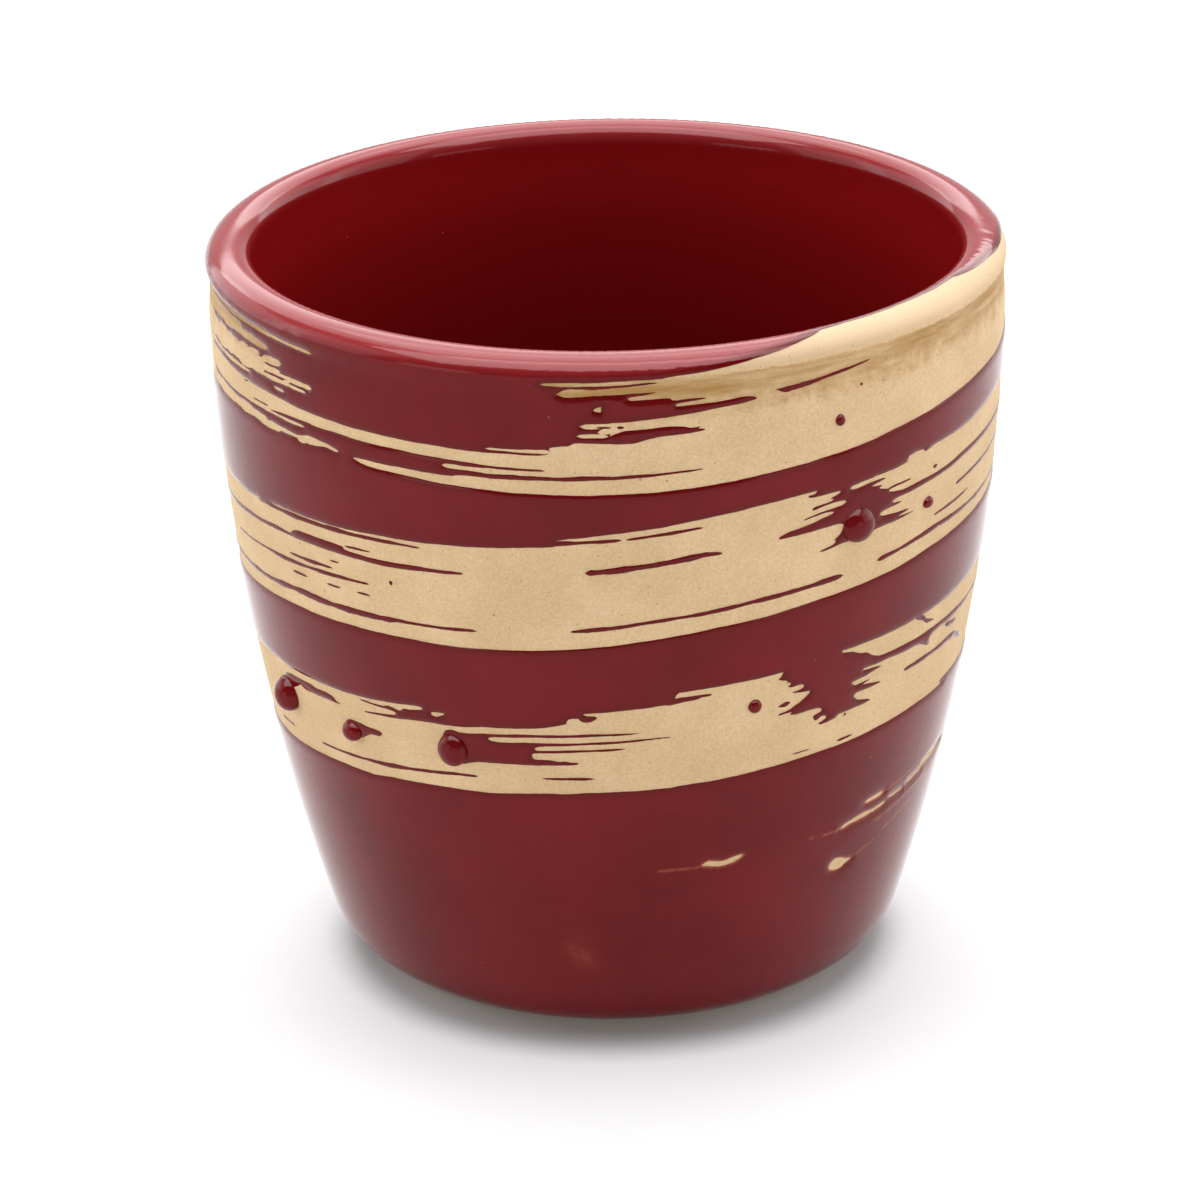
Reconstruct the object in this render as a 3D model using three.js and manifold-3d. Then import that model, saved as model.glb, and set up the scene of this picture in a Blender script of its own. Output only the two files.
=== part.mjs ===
// A stoneware coffee cup without a handle: bare clay under a dark red glaze, with a spiral brush
// stroke that kept the glaze off, and beads and bristle streaks of glaze left on the bare clay.
// Millimetres, +Z up, the table at z = 0. Angles are in degrees round the cup's axis, 0 at the
// front (-Y) and growing to the right (+X), with 360 more for each further turn of the stroke.
import * as THREE from 'three';
import { mergeVertices } from 'three/addons/utils/BufferGeometryUtils.js';
import Module from 'manifold-3d';

const wasm = await Module();
wasm.setup();

// Cup. WALL is the clay alone, WALL_BOW the radius of its slow bow, and the foot stands in from the base.
const HEIGHT = 76.1;
const RIM_RADIUS = 40;
const WALL = 3.3;
const WALL_BOW = 235;
const BASE_ROUND = 6.5;
const FOOT_SETBACK = 1;
const FOOT_WIDTH = 3.6;
const FOOT_HEIGHT = 0.8;
const FOOT_BEVEL = 0.4;
const RECESS_DEPTH = 1.6;
const FLOOR = 5;
const WELL_ROUND = 14;

// Glaze, with the clearance between a glaze piece and what it lies on
const GLAZE = 0.4;
const SEAT = 0.05;
const GLAZE_STOP = 68;

// Facets round the axis and along each curve of the profile
const SEGMENTS = 44;
const LIP_STEPS = 3;
const WALL_STEPS = 6;
const ROUND_STEPS = 4;
const STROKE_SECTIONS = 90;
const STREAK_STEP = 3;
const CUTTER_STEP = 9;

// Spiral stroke: angle, and the depths below the lip of its upper and its lower edge.
// A depth below zero lies above the lip, where the brush ran off over the rim.
const STROKE = [
  [-200, 45.8, 51.3],
  [-140, 42.5, 50.7],
  [-75, 39.7, 48.8],
  [-45, 38.7, 47.4],
  [-15, 38.5, 46.1],
  [0, 36.2, 45.4],
  [20, 34.1, 44.7],
  [45, 33.1, 43.7],
  [75, 32.6, 43.1],
  [285, 21.7, 32.1],
  [315, 20.7, 30.7],
  [345, 19.2, 30],
  [360, 17.7, 29.1],
  [380, 15.7, 27.7],
  [405, 15.1, 26.1],
  [435, 14.1, 25],
  [645, 2.7, 12.8],
  [680, 2.7, 12.8],
  [710, 2.3, 13.4],
  [730, 1.7, 13.1],
  [745, -0.5, 12.5],
  [760, -3, 11.4],
  [795, -4, 9.7],
  [815, -3, 9.3],
  [835, 1, 8.8],
  [870, 2.8, 7.8],
];

// Strips: first and last angle, depth of the middle line at each end, width.
// Skips are the patches where the dry brush missed and the coat stays whole.
const SKIPS = [
  // top turn, where the brush lifted
  [-44, -10, 5.5, 5.4, 6.8],
  [-46, -9, 2.6, 2.4, 1.2],
  [-46, -6, 3.9, 3.8, 1.4],
  [-50, 3, 5.3, 5.1, 1.6],
  [-46, -4, 6.8, 6.7, 1],
  [-56, -8, 8.2, 8.5, 1],
  [-75, -40, 3.2, 3.3, 0.4],
  [-73, -40, 5, 5.2, 0.4],
  [-70, -40, 8, 8.2, 0.6],
  [-8, 20, 5.4, 4.7, 0.7],
  [-14, 13, 8, 7.2, 0.7],
  // middle turn, a whole heart with bristle fingers to both sides
  [34.5, 40, 18, 17.8, 7],
  [31, 36, 15.4, 15.3, 1.4],
  [30, 42, 16.4, 16.2, 1],
  [34, 42, 17.3, 17.2, 1.2],
  [28, 44, 18, 17.8, 0.8],
  [24, 76, 19.3, 17.3, 0.6],
  [33.5, 41, 19.4, 19.3, 2.4],
  [33, 48, 20.9, 20.7, 0.7],
  [30.5, 40, 21.5, 21.2, 0.8],
  // low turn, made the same way
  [33, 39, 36.6, 36.4, 7.4],
  [26, 40, 34.2, 33.6, 1.4],
  [28, 42.5, 35.4, 34.9, 1.6],
  [30, 74, 36.4, 35.4, 0.7],
  [29, 44, 37, 36.6, 0.8],
  [27, 40, 37.9, 37.6, 1.2],
  [31, 44.5, 38.6, 38.2, 0.7],
  [33, 39.5, 39.3, 39.1, 1.4],
  [32, 42.5, 40.2, 40, 0.6],
];

// Wisps are the last dry touches of the stroke, bare lines in the red below it.
const WISPS = [
  [14.5, 22, 54.7, 54.5, 0.7],
  [41, 53, 54.2, 53.8, 0.6],
  [46, 51, 52.3, 52.2, 0.5],
  [58, 70, 53, 52.3, 0.5],
  [40, 45.5, 58.8, 58.9, 1.5],
];

// Streaks are ridges of glaze that stand alone on the bare clay.
const STREAKS = {
  low_streak_1: [-55, -22, 46.4, 44.6, 0.4],
  low_streak_2: [-21, 4.5, 39.7, 38.8, 0.35],
  low_streak_3: [-18, 9, 40.3, 39.5, 0.3],
  low_streak_4: [50.5, 68, 38.2, 38.2, 0.5],
  low_streak_5: [-57, -43, 40.4, 40.5, 0.7],
  low_patch: [-22.3, -11, 41.2, 41.4, 1.6],
  middle_streak_1: [-71, -21, 24.1, 22.3, 0.6],
  middle_streak_2: [-60, -37, 26.3, 25.5, 0.35],
  middle_streak_3: [-72, -20, 30.1, 28.3, 0.45],
  middle_streak_4: [-3.5, 15, 21.4, 20, 0.5],
  middle_streak_5: [-6, 35, 27.6, 24.9, 0.4],
  middle_streak_6: [41, 82, 24.4, 23.4, 0.4],
  middle_streak_7: [59, 76, 20.2, 19.9, 0.35],
  top_streak_1: [-56, 13, 10.9, 11.2, 0.5],
  top_streak_2: [24, 38, 4.6, 3.4, 0.4],
};

// Beads: angle, depth, width across, height up the wall, how far it stands out, and what it lies on.
const BEADS = {
  low_bead_1: [-61.5, 42.1, 3, 4.4, 1.3, 'clay'],
  low_bead_2: [-43.5, 42.7, 2.4, 2.1, 0.8, 'clay'],
  low_bead_3: [-25.2, 41.8, 2.8, 3.6, 1, 'clay'],
  low_bead_4: [21.3, 37.1, 1.4, 1.4, 0.5, 'clay'],
  middle_bead_1: [37, 19.8, 3.2, 3.4, 1, 'glaze'],
  middle_bead_2: [51.5, 20.4, 1.7, 1.1, 0.5, 'clay'],
  top_bead_1: [33, 8.6, 1.1, 1.1, 0.45, 'clay'],
};
const BEAD_SEGMENTS = 16;
const BEAD_STEPS = 4;

const CLAY_COLOUR = '#d6b88e';
const GLAZE_COLOUR = '#701f23';
const LINER_COLOUR = '#5a0d11';
const CLAY_ROUGHNESS = 0.85;
const GLAZE_ROUGHNESS = 0.15;

const radians = THREE.MathUtils.degToRad;
const QUARTER = Math.PI / 2;

// Circles of the clay profile: lip, bowed wall, turned-under base and the round well inside
const clayRim = RIM_RADIUS - GLAZE - SEAT;
const lipHeight = HEIGHT - GLAZE - SEAT - WALL / 2;
const floorHeight = RECESS_DEPTH + FLOOR;
const lipCentre = new THREE.Vector2(clayRim - WALL / 2, lipHeight);
const bowCentre = new THREE.Vector2(clayRim - WALL_BOW, lipHeight);
const baseCentre = centreInside(WALL_BOW, BASE_ROUND, FOOT_HEIGHT + BASE_ROUND);
const wellCentre = centreInside(WALL_BOW - WALL, WELL_ROUND, floorHeight + WELL_ROUND);
const baseAngle = Math.atan2(baseCentre.y - bowCentre.y, baseCentre.x - bowCentre.x);
const wellAngle = Math.atan2(wellCentre.y - bowCentre.y, wellCentre.x - bowCentre.x);

// The centre, at a given height, of a circle that touches the wall's circle from inside
function centreInside(bowRadius, radius, height) {
  const reach = Math.sqrt((bowRadius - radius) ** 2 - (height - bowCentre.y) ** 2);
  return new THREE.Vector2(bowCentre.x + reach, height);
}

function arc(centre, radius, from, to, steps) {
  const points = [];
  for (let step = 0; step <= steps; step += 1) {
    const angle = from + ((to - from) * step) / steps;
    points.push(new THREE.Vector2(centre.x + radius * Math.cos(angle), centre.y + radius * Math.sin(angle)));
  }
  return points;
}

// From the lip down the outside, a given distance off the clay
function outsidePath(offset, start, stop) {
  return [
    ...arc(lipCentre, WALL / 2 + offset, start, 0, LIP_STEPS),
    ...arc(bowCentre, WALL_BOW + offset, 0, baseAngle, WALL_STEPS).slice(1),
    ...arc(baseCentre, BASE_ROUND + offset, baseAngle, stop, ROUND_STEPS).slice(1),
  ];
}

// From the lip down the inside to the axis, a given distance off the clay
function insidePath(offset, start) {
  return [
    ...arc(lipCentre, WALL / 2 + offset, start, Math.PI, LIP_STEPS),
    ...arc(bowCentre, WALL_BOW - WALL - offset, 0, wellAngle, WALL_STEPS).slice(1),
    ...arc(wellCentre, WELL_ROUND - offset, wellAngle, -QUARTER, ROUND_STEPS).slice(1),
    new THREE.Vector2(0, floorHeight + offset),
  ];
}

// Turn a profile of radius and height round the cup's axis
function revolve(profile) {
  const geometry = new THREE.LatheGeometry(profile, SEGMENTS);
  geometry.rotateX(QUARTER);
  return geometry;
}

// The clay's outside radius at a depth below the lip
function clayRadius(depth) {
  const height = HEIGHT - depth;
  if (height > lipHeight) {
    return clayRim;
  }
  if (height > baseCentre.y + BASE_ROUND * Math.sin(baseAngle)) {
    return bowCentre.x + Math.sqrt(WALL_BOW ** 2 - (height - bowCentre.y) ** 2);
  }
  return baseCentre.x + Math.sqrt(Math.max(0, BASE_ROUND ** 2 - (height - baseCentre.y) ** 2));
}

function clayBody() {
  const footOuter = baseCentre.x - FOOT_SETBACK;
  const footInner = footOuter - FOOT_WIDTH;
  const foot = [
    new THREE.Vector2(footOuter, FOOT_HEIGHT),
    new THREE.Vector2(footOuter, FOOT_BEVEL),
    new THREE.Vector2(footOuter - FOOT_BEVEL, 0),
    new THREE.Vector2(footInner, 0),
    new THREE.Vector2(footInner - RECESS_DEPTH, RECESS_DEPTH),
    new THREE.Vector2(0, RECESS_DEPTH),
  ];
  const inside = insidePath(0, QUARTER).reverse();
  const outside = outsidePath(0, QUARTER, -QUARTER).slice(1);
  return revolve([...inside, ...outside, ...foot].reverse());
}

// The two glazes meet on the crest of the lip, a seat apart
const crestGap = SEAT / (WALL / 2 + SEAT);

function linerGlaze() {
  const start = QUARTER + crestGap / 2;
  const under = insidePath(SEAT, start);
  const face = insidePath(SEAT + GLAZE, start);
  return revolve([...face.reverse(), ...under].reverse());
}

function glazeShell() {
  const start = QUARTER - crestGap / 2;
  const stop = -radians(GLAZE_STOP);
  const under = outsidePath(SEAT, start, stop);
  const face = outsidePath(SEAT + GLAZE, start, stop);
  return revolve([...under, ...face.reverse(), under[0]]);
}

// A solid swept round the axis from sections of radius and height, each listed anticlockwise
function sweepRound(sections) {
  const corners = sections[0].outline.length;
  const positions = [];
  for (const { angle, outline } of sections) {
    const turn = radians(angle);
    for (const [radius, height] of outline) {
      positions.push(radius * Math.sin(turn), -radius * Math.cos(turn), height);
    }
  }
  const faces = [];
  const last = (sections.length - 1) * corners;
  for (let start = 0; start < last; start += corners) {
    for (let corner = 0; corner < corners; corner += 1) {
      const a = start + corner;
      const b = start + ((corner + 1) % corners);
      faces.push(b, a, a + corners);
      faces.push(b, a + corners, b + corners);
    }
  }
  for (let corner = 1; corner + 1 < corners; corner += 1) {
    faces.push(0, corner, corner + 1);
    faces.push(last, last + corner + 1, last + corner);
  }
  const geometry = new THREE.BufferGeometry();
  geometry.setAttribute('position', new THREE.Float32BufferAttribute(positions, 3));
  geometry.setIndex(faces);
  geometry.computeVertexNormals();
  return geometry;
}

// A cutter reaches right through the coat, from well inside the clay to well outside the rim
function cutterOutline(upper, lower) {
  const inner = clayRadius(lower) - 2 * WALL;
  const outer = RIM_RADIUS + WALL;
  return [
    [inner, HEIGHT - lower],
    [outer, HEIGHT - lower],
    [outer, HEIGHT - upper],
    [inner, HEIGHT - upper],
  ];
}

// The sections of a strip, with each end drawn in to a blunt point
function stripSections([from, to, depthFrom, depthTo, width], outlineOf, stepAngle) {
  const count = Math.max(3, Math.ceil((to - from) / stepAngle));
  const sections = [];
  for (let step = 0; step <= count; step += 1) {
    const share = step / count;
    const depth = depthFrom + (depthTo - depthFrom) * share;
    const half = step === 0 || step === count ? width / 6 : width / 2;
    sections.push({ angle: from + (to - from) * share, outline: outlineOf(depth - half, depth + half) });
  }
  return sections;
}

// A ridge of glaze lies flat on the clay and narrows to half its width at the crest
function ridgeOutline(upper, lower) {
  const draw = (lower - upper) / 4;
  const crest = SEAT + GLAZE;
  return [
    [clayRadius(lower) + SEAT, HEIGHT - lower],
    [clayRadius(lower - draw) + crest, HEIGHT - lower + draw],
    [clayRadius(upper + draw) + crest, HEIGHT - upper - draw],
    [clayRadius(upper) + SEAT, HEIGHT - upper],
  ];
}

function toSolid(geometry) {
  const bare = geometry.clone();
  bare.deleteAttribute('normal');
  bare.deleteAttribute('uv');
  const merged = mergeVertices(bare, 1e-4);
  return new wasm.Manifold(new wasm.Mesh({
    numProp: 3,
    vertProperties: new Float32Array(merged.attributes.position.array),
    triVerts: new Uint32Array(merged.index.array),
  }));
}

function toGeometry(solid) {
  const mesh = solid.getMesh();
  const geometry = new THREE.BufferGeometry();
  geometry.setAttribute('position', new THREE.BufferAttribute(mesh.vertProperties, 3));
  geometry.setIndex(new THREE.BufferAttribute(mesh.triVerts, 1));
  geometry.computeVertexNormals();
  return geometry;
}

// The stroke's edges run smoothly through its listed points
function strokeCutter() {
  const edges = new THREE.CatmullRomCurve3(STROKE.map((point) => new THREE.Vector3(...point)));
  const sections = edges.getSpacedPoints(STROKE_SECTIONS).map((point) => ({
    angle: point.x,
    outline: cutterOutline(point.y, point.z),
  }));
  return toSolid(sweepRound(sections));
}

function stripCutter(strip) {
  return toSolid(sweepRound(stripSections(strip, cutterOutline, CUTTER_STEP)));
}

// The coat keeps its skips: they are taken out of the stroke before the stroke is cut
function outerGlaze() {
  let window = strokeCutter();
  for (const skip of SKIPS) {
    window = window.subtract(stripCutter(skip));
  }
  for (const wisp of WISPS) {
    window = window.add(stripCutter(wisp));
  }
  return toGeometry(toSolid(glazeShell()).subtract(window));
}

// A bead is a low dome with its flat side to the wall, on an unturned mesh facing +Y
function bead(width, tall, proud) {
  const profile = [new THREE.Vector2(0, 0)];
  profile.push(...arc(new THREE.Vector2(0, 0), 1, 0, QUARTER, BEAD_STEPS).slice(0, -1));
  profile.push(new THREE.Vector2(0, 1));
  const geometry = new THREE.LatheGeometry(profile, BEAD_SEGMENTS);
  geometry.scale(width / 2, proud, tall / 2);
  return geometry;
}

const group = new THREE.Group();
group.name = 'coffee_cup';

function place(name, geometry, color, roughness) {
  const material = new THREE.MeshStandardMaterial({ color, roughness, metalness: 0 });
  const mesh = new THREE.Mesh(geometry, material);
  mesh.name = name;
  group.add(mesh);
  return mesh;
}

place('clay_body', clayBody(), CLAY_COLOUR, CLAY_ROUGHNESS);
place('liner_glaze', linerGlaze(), LINER_COLOUR, GLAZE_ROUGHNESS);
place('outer_glaze', outerGlaze(), GLAZE_COLOUR, GLAZE_ROUGHNESS);
for (const [name, strip] of Object.entries(STREAKS)) {
  const ridge = sweepRound(stripSections(strip, ridgeOutline, STREAK_STEP));
  place(name, ridge, GLAZE_COLOUR, GLAZE_ROUGHNESS);
}

// Beads face straight out from the wall where they sit
for (const [name, [angle, depth, width, tall, proud, on]] of Object.entries(BEADS)) {
  const turn = radians(angle);
  const lean = Math.atan2(clayRadius(depth - 1) - clayRadius(depth + 1), 2);
  const across = new THREE.Vector3(Math.cos(turn), Math.sin(turn), 0);
  const level = new THREE.Vector3(Math.sin(turn), -Math.cos(turn), 0);
  const outward = level.clone().multiplyScalar(Math.cos(lean));
  outward.z = -Math.sin(lean);
  const downward = new THREE.Vector3().crossVectors(across, outward);
  const seat = on === 'glaze' ? SEAT + GLAZE + SEAT : SEAT;
  const mesh = place(name, bead(width, tall, proud), GLAZE_COLOUR, GLAZE_ROUGHNESS);
  mesh.position.copy(level).multiplyScalar(clayRadius(depth));
  mesh.position.z = HEIGHT - depth;
  mesh.position.addScaledVector(outward, seat);
  mesh.quaternion.setFromRotationMatrix(new THREE.Matrix4().makeBasis(across, outward, downward));
}

export default group;
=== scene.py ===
"""A hand-thrown coffee cup without a handle, in stoneware with a glossy red glaze. A spiral brush
stroke kept the glaze off the clay, and bristle streaks and beads of glaze stayed on the bare band."""

import math
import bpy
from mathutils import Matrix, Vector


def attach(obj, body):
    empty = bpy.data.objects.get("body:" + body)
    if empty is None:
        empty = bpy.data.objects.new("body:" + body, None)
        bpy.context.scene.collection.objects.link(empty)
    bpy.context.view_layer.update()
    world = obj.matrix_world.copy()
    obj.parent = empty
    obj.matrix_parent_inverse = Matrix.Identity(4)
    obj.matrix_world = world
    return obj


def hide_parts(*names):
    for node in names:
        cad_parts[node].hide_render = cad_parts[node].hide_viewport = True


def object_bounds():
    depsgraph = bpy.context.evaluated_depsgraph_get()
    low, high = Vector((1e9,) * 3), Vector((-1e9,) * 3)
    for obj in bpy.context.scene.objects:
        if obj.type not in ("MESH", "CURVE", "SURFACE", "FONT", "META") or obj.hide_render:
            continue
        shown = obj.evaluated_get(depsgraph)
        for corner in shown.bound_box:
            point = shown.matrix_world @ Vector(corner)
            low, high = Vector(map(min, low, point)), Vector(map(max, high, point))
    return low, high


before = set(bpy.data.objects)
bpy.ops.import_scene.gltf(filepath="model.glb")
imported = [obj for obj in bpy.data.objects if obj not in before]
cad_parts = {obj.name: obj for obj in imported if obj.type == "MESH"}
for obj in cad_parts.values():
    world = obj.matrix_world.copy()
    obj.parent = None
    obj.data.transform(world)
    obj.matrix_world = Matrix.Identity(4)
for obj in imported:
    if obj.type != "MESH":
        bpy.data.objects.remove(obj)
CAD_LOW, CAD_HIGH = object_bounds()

from types import SimpleNamespace

import bpy
import numpy as np
from bpy.props import FloatProperty, FloatVectorProperty, IntProperty, PointerProperty
from mathutils import Matrix, Vector, kdtree
from mathutils.geometry import delaunay_2d_cdt

bl_info = {
    "name": "Brushed stoneware cup",
    "version": (1, 0, 0),
    "blender": (4, 5, 0),
    "location": "View3D > Sidebar > Cup",
    "description": "Builds a red-glazed coffee cup with a bare spiral brush stroke",
    "category": "Mesh",
}

MM = 0.001
TAU = 2 * math.pi

# The brush map. Angles are in degrees round the cup, 0 at the front and growing to the right, and
# heights in millimetres above the underside of the turned-in base, measured up the outside. A height
# past the crest of the lip runs on down its inner side.

# The spiral stroke: angle with 360 more for each turn, upper edge, lower edge
STROKE = (
    (-203, 27.0, 26.4), (-198, 28.6, 25.3), (-185, 30.3, 24.5), (-165, 31.5, 24.3), (-140, 32.8, 24.6),
    (-110, 34.3, 25.4), (-90, 35.0, 26.0), (-75, 35.4, 26.5), (-65, 36.0, 26.95), (-55, 36.25, 27.5),
    (-45, 36.6, 27.9), (-42, 36.75, 27.95), (-38, 37.0, 28.3), (-31, 37.45, 28.65), (-30, 37.4, 28.7),
    (-29.8, 36.1, 28.7), (-25, 36.05, 28.85), (-22, 36.25, 28.95), (-20, 36.45, 29.0), (-15, 36.65, 29.25),
    (-10.4, 36.95, 29.5), (-8, 37.3, 29.55), (-7, 37.5, 29.6), (-6.9, 38.0, 29.6), (-6, 38.15, 29.65),
    (-5.3, 38.1, 29.7), (-4.4, 38.7, 29.75), (0, 39.0, 29.9), (5, 39.25, 30.0), (8.7, 39.5, 30.05),
    (8.9, 40.3, 30.05), (9.6, 40.7, 30.15), (15, 40.9, 30.4), (20, 41.15, 30.65), (25, 41.35, 30.9),
    (30, 41.6, 31.1), (36, 42.05, 31.3), (45, 42.2, 31.65), (55, 42.3, 31.95), (65, 42.6, 32.05),
    (75, 42.8, 32.3), (92, 43.6, 33.1), (118, 45.2, 34.2), (150, 46.7, 36.0), (180, 48.1, 37.6),
    (212, 50.1, 39.3), (250, 51.9, 41.6), (285, 53.6, 43.2), (295, 54.0, 43.8), (300, 54.3, 44.1),
    (305, 54.7, 44.3), (318, 55.1, 44.7), (332, 55.55, 44.95), (340, 55.9, 45.1), (347, 56.2, 45.35),
    (352, 56.5, 45.6), (352.3, 57.15, 45.6), (354, 57.4, 45.75), (360, 57.9, 46.2), (367, 58.4, 46.7),
    (375, 59.15, 47.4), (380, 59.6, 47.7), (389.5, 60.05, 48.35), (395, 59.9, 48.7), (404, 60.02, 49.15),
    (406, 60.2, 49.25), (406.4, 60.7, 49.3), (408, 60.85, 49.4), (409.6, 60.75, 49.5),
    (409.9, 60.4, 49.55), (412.5, 60.75, 49.7), (420, 60.85, 50.1), (430, 61.3, 50.3), (440, 61.5, 50.6),
    (470, 62.8, 52.1), (508, 64.6, 54.5), (540, 66.4, 56.2), (575, 68.7, 58.2), (605, 70.6, 60.3),
    (625, 72.0, 61.6), (642, 72.8, 62.7),
)

# Where the stroke meets the lip: the same list for its last reach, from the front on
STROKE_END = (
    (720, 73.15, 61.93), (725, 73.2, 62.0), (727, 73.3, 62.05), (728, 73.45, 62.1), (730, 73.6, 62.2),
    (735, 73.9, 62.45), (740, 74.4, 62.65), (745.5, 74.85, 63.0), (748, 75.1, 63.15), (750, 75.25, 63.3),
    (753, 75.4, 63.45), (757, 75.62, 63.7), (762, 75.55, 64.05), (768, 75.62, 64.45), (776, 75.5, 65.0),
    (782, 75.38, 65.3), (786, 75.28, 65.45), (795, 75.05, 65.75), (810, 74.4, 66.6), (825, 73.1, 67.4),
    (845, 72.7, 68.3), (862, 72.3, 69.2), (868, 71.9, 69.9), (871, 71.3, 70.7),
)

# Bare marks beside the stroke, each a path of angle, height and width
BARE_MARKS = (
    # the top turn breaks up into strands before the front
    ((-86, 72.55, 0.5), (-65, 72.5, 0.42), (-55, 72.42, 0.42), (-45.2, 72.2, 0.3)),
    ((-86, 71.3, 1.5), (-70, 71.27, 1.4), (-63, 71.35, 0.9)),
    ((-68, 71.0, 0.6), (-60, 71.02, 0.72), (-55.4, 70.9, 0.5)),
    ((-86, 69.1, 2.4), (-73, 68.97, 2.0), (-66, 69.05, 2.05), (-56, 68.9, 1.8)),
    ((-61, 69.95, 0.5), (-57.6, 70.0, 0.4)),
    ((-57, 69.75, 0.6), (-55, 69.9, 0.75), (-52, 69.95, 0.65)),
    ((-58, 69.15, 0.5), (-52.1, 69.12, 0.36)),
    ((-58, 68.85, 0.5), (-51, 68.85, 0.35), (-48, 68.8, 0.5), (-45.2, 68.7, 0.5)),
    ((-60, 68.25, 0.4), (-51, 68.25, 0.4), (-46.4, 68.12, 0.26)),
    ((-51.5, 68.55, 0.5), (-49.8, 68.6, 0.5)),
    ((-86, 67.45, 0.6), (-70, 67.5, 0.4), (-60.4, 67.57, 0.34)),
    ((-54, 67.4, 0.2), (-51.2, 67.3, 0.26)),
    ((-75, 64.5, 0.34), (-60, 64.62, 0.3), (-47.2, 64.5, 0.26)),
    ((-86, 63.3, 1.2), (-70, 63.45, 1.1), (-62, 63.5, 1.0), (-56, 63.4, 0.8)),
    ((-58.5, 63.0, 0.3), (-55, 63.25, 0.8), (-52.6, 63.15, 0.5)),
    ((-56, 63.35, 0.5), (-49, 63.2, 0.36), (-46.5, 63.3, 0.8), (-43, 63.4, 0.4), (-40.5, 63.1, 0.34)),
    ((-49, 63.0, 0.5), (-47, 62.9, 0.36)),
    ((-23.5, 63.97, 0.44), (-15, 63.93, 0.48), (-8, 63.97, 0.55), (1, 64.1, 0.55)),
    ((-17.1, 66.18, 0.24), (-12, 66.17, 0.26), (-8, 66.2, 0.5)),
    ((-9.3, 72.84, 0.34), (-5, 72.84, 0.36), (1, 72.95, 0.42)),
    ((-7.2, 71.85, 0.34), (-5.7, 71.97, 0.7), (1, 72.1, 0.72)),
    ((-4.1, 68.78, 0.26), (-2.6, 68.75, 0.5), (1, 68.88, 0.5)),
    ((-4.5, 67.83, 0.42), (-2, 67.82, 0.48), (-0.2, 67.8, 0.36)),
    ((-1.7, 68.2, 0.7), (1, 68.45, 0.6)),
)

# Last dry touches of the brush low on the wall, in thin rubbed glaze
TOUCH_MARKS = (
    ((41, 20.9, 0.36), (43, 21.2, 0.5), (46, 21.38, 0.5), (49, 21.38, 0.4), (52.4, 21.62, 0.3)),
    ((46.2, 22.88, 0.4), (48, 22.95, 0.45), (51, 23.05, 0.34)),
    ((53, 21.9, 0.24), (57.5, 22.0, 0.3)),
    ((58.5, 22.25, 0.3), (64.5, 22.6, 0.44)),
    ((63, 22.8, 0.5), (68, 23.1, 0.8), (74, 23.3, 0.4)),
    # the same touches run on round the back
    ((84, 23.9, 0.4), (96, 24.4, 0.7), (104, 24.9, 0.3)),
    ((112, 25.3, 0.3), (121, 25.9, 0.4), (127, 26.1, 0.2)),
    ((-176, 22.1, 0.3), (-166, 22.2, 0.5), (-158, 22.1, 0.2)),
    ((-150, 22.6, 0.3), (-141, 22.8, 0.4), (-134, 22.7, 0.2)),
)

# Bare outlines, each a ring of angle and height
BARE_OUTLINES = (
    # the broad strand of the top turn, up to where the stroke opens at the front
    (
        (-86, 66.75), (-70, 66.75), (-66, 66.6), (-60, 66.5), (-55, 66.5), (-50, 66.35), (-45, 66.15),
        (-40, 66.05), (-35, 65.95), (-30, 65.9), (-26, 65.85), (-20, 65.75), (-15, 65.75), (-10, 65.8),
        (-8.5, 65.9), (-8.0, 66.25), (-8.4, 66.6), (-7.0, 66.75), (-5.4, 66.82), (-5.1, 67.1), (-3, 67.15),
        (1, 67.05), (1, 63.9), (-5, 63.85), (-8.6, 64.1), (-9.2, 64.4), (-12, 64.38), (-14.5, 64.42),
        (-18, 64.52), (-22, 64.62), (-26, 64.72), (-30, 64.8), (-36, 64.87), (-40, 65.0), (-45.5, 65.02),
        (-46, 65.12), (-50, 65.07), (-54.2, 64.95), (-56, 64.6), (-70, 64.45), (-86, 64.4),
    ),
    # the lowest strand of the top turn
    (
        (-38.3, 62.95), (-36, 63.02), (-30, 63.0), (-22, 62.97), (-21.4, 63.18), (-15, 63.2), (-5, 63.32),
        (0, 63.45), (1.5, 63.5), (1.5, 61.95), (0, 61.92), (-5, 61.87), (-10, 61.87), (-15, 61.92),
        (-20, 62.02), (-26, 62.17), (-30, 62.35), (-35, 62.42), (-37, 62.6),
    ),
    ((-2.4, 70.3), (-1.6, 70.68), (-0.3, 70.62), (-0.6, 70.3), (-1.2, 70.1), (-2.0, 70.2)),
)

# Bare spots inside a skip
BARE_SPOTS = (((-28.6, 36.9), (-27.6, 36.7), (-26.8, 36.95), (-25.9, 37.3), (-27, 37.3), (-28.3, 37.2)),)

# A crescent and a drop among the dry touches
TOUCH_OUTLINES = (
    (
        (14.1, 20.45), (15.4, 20.95), (16.2, 20.82), (18, 20.68), (19.8, 21.05), (21.8, 21.12),
        (20.2, 20.45), (18.4, 20.12), (16.5, 20.18), (15.2, 20.35),
    ),
    (
        (39.9, 16.4), (40.3, 17.0), (41.5, 17.35), (43, 17.1), (44, 16.75), (45.6, 16.5), (44.3, 16.25),
        (43.4, 15.85), (42.2, 15.75), (40.6, 16.0),
    ),
)

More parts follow.
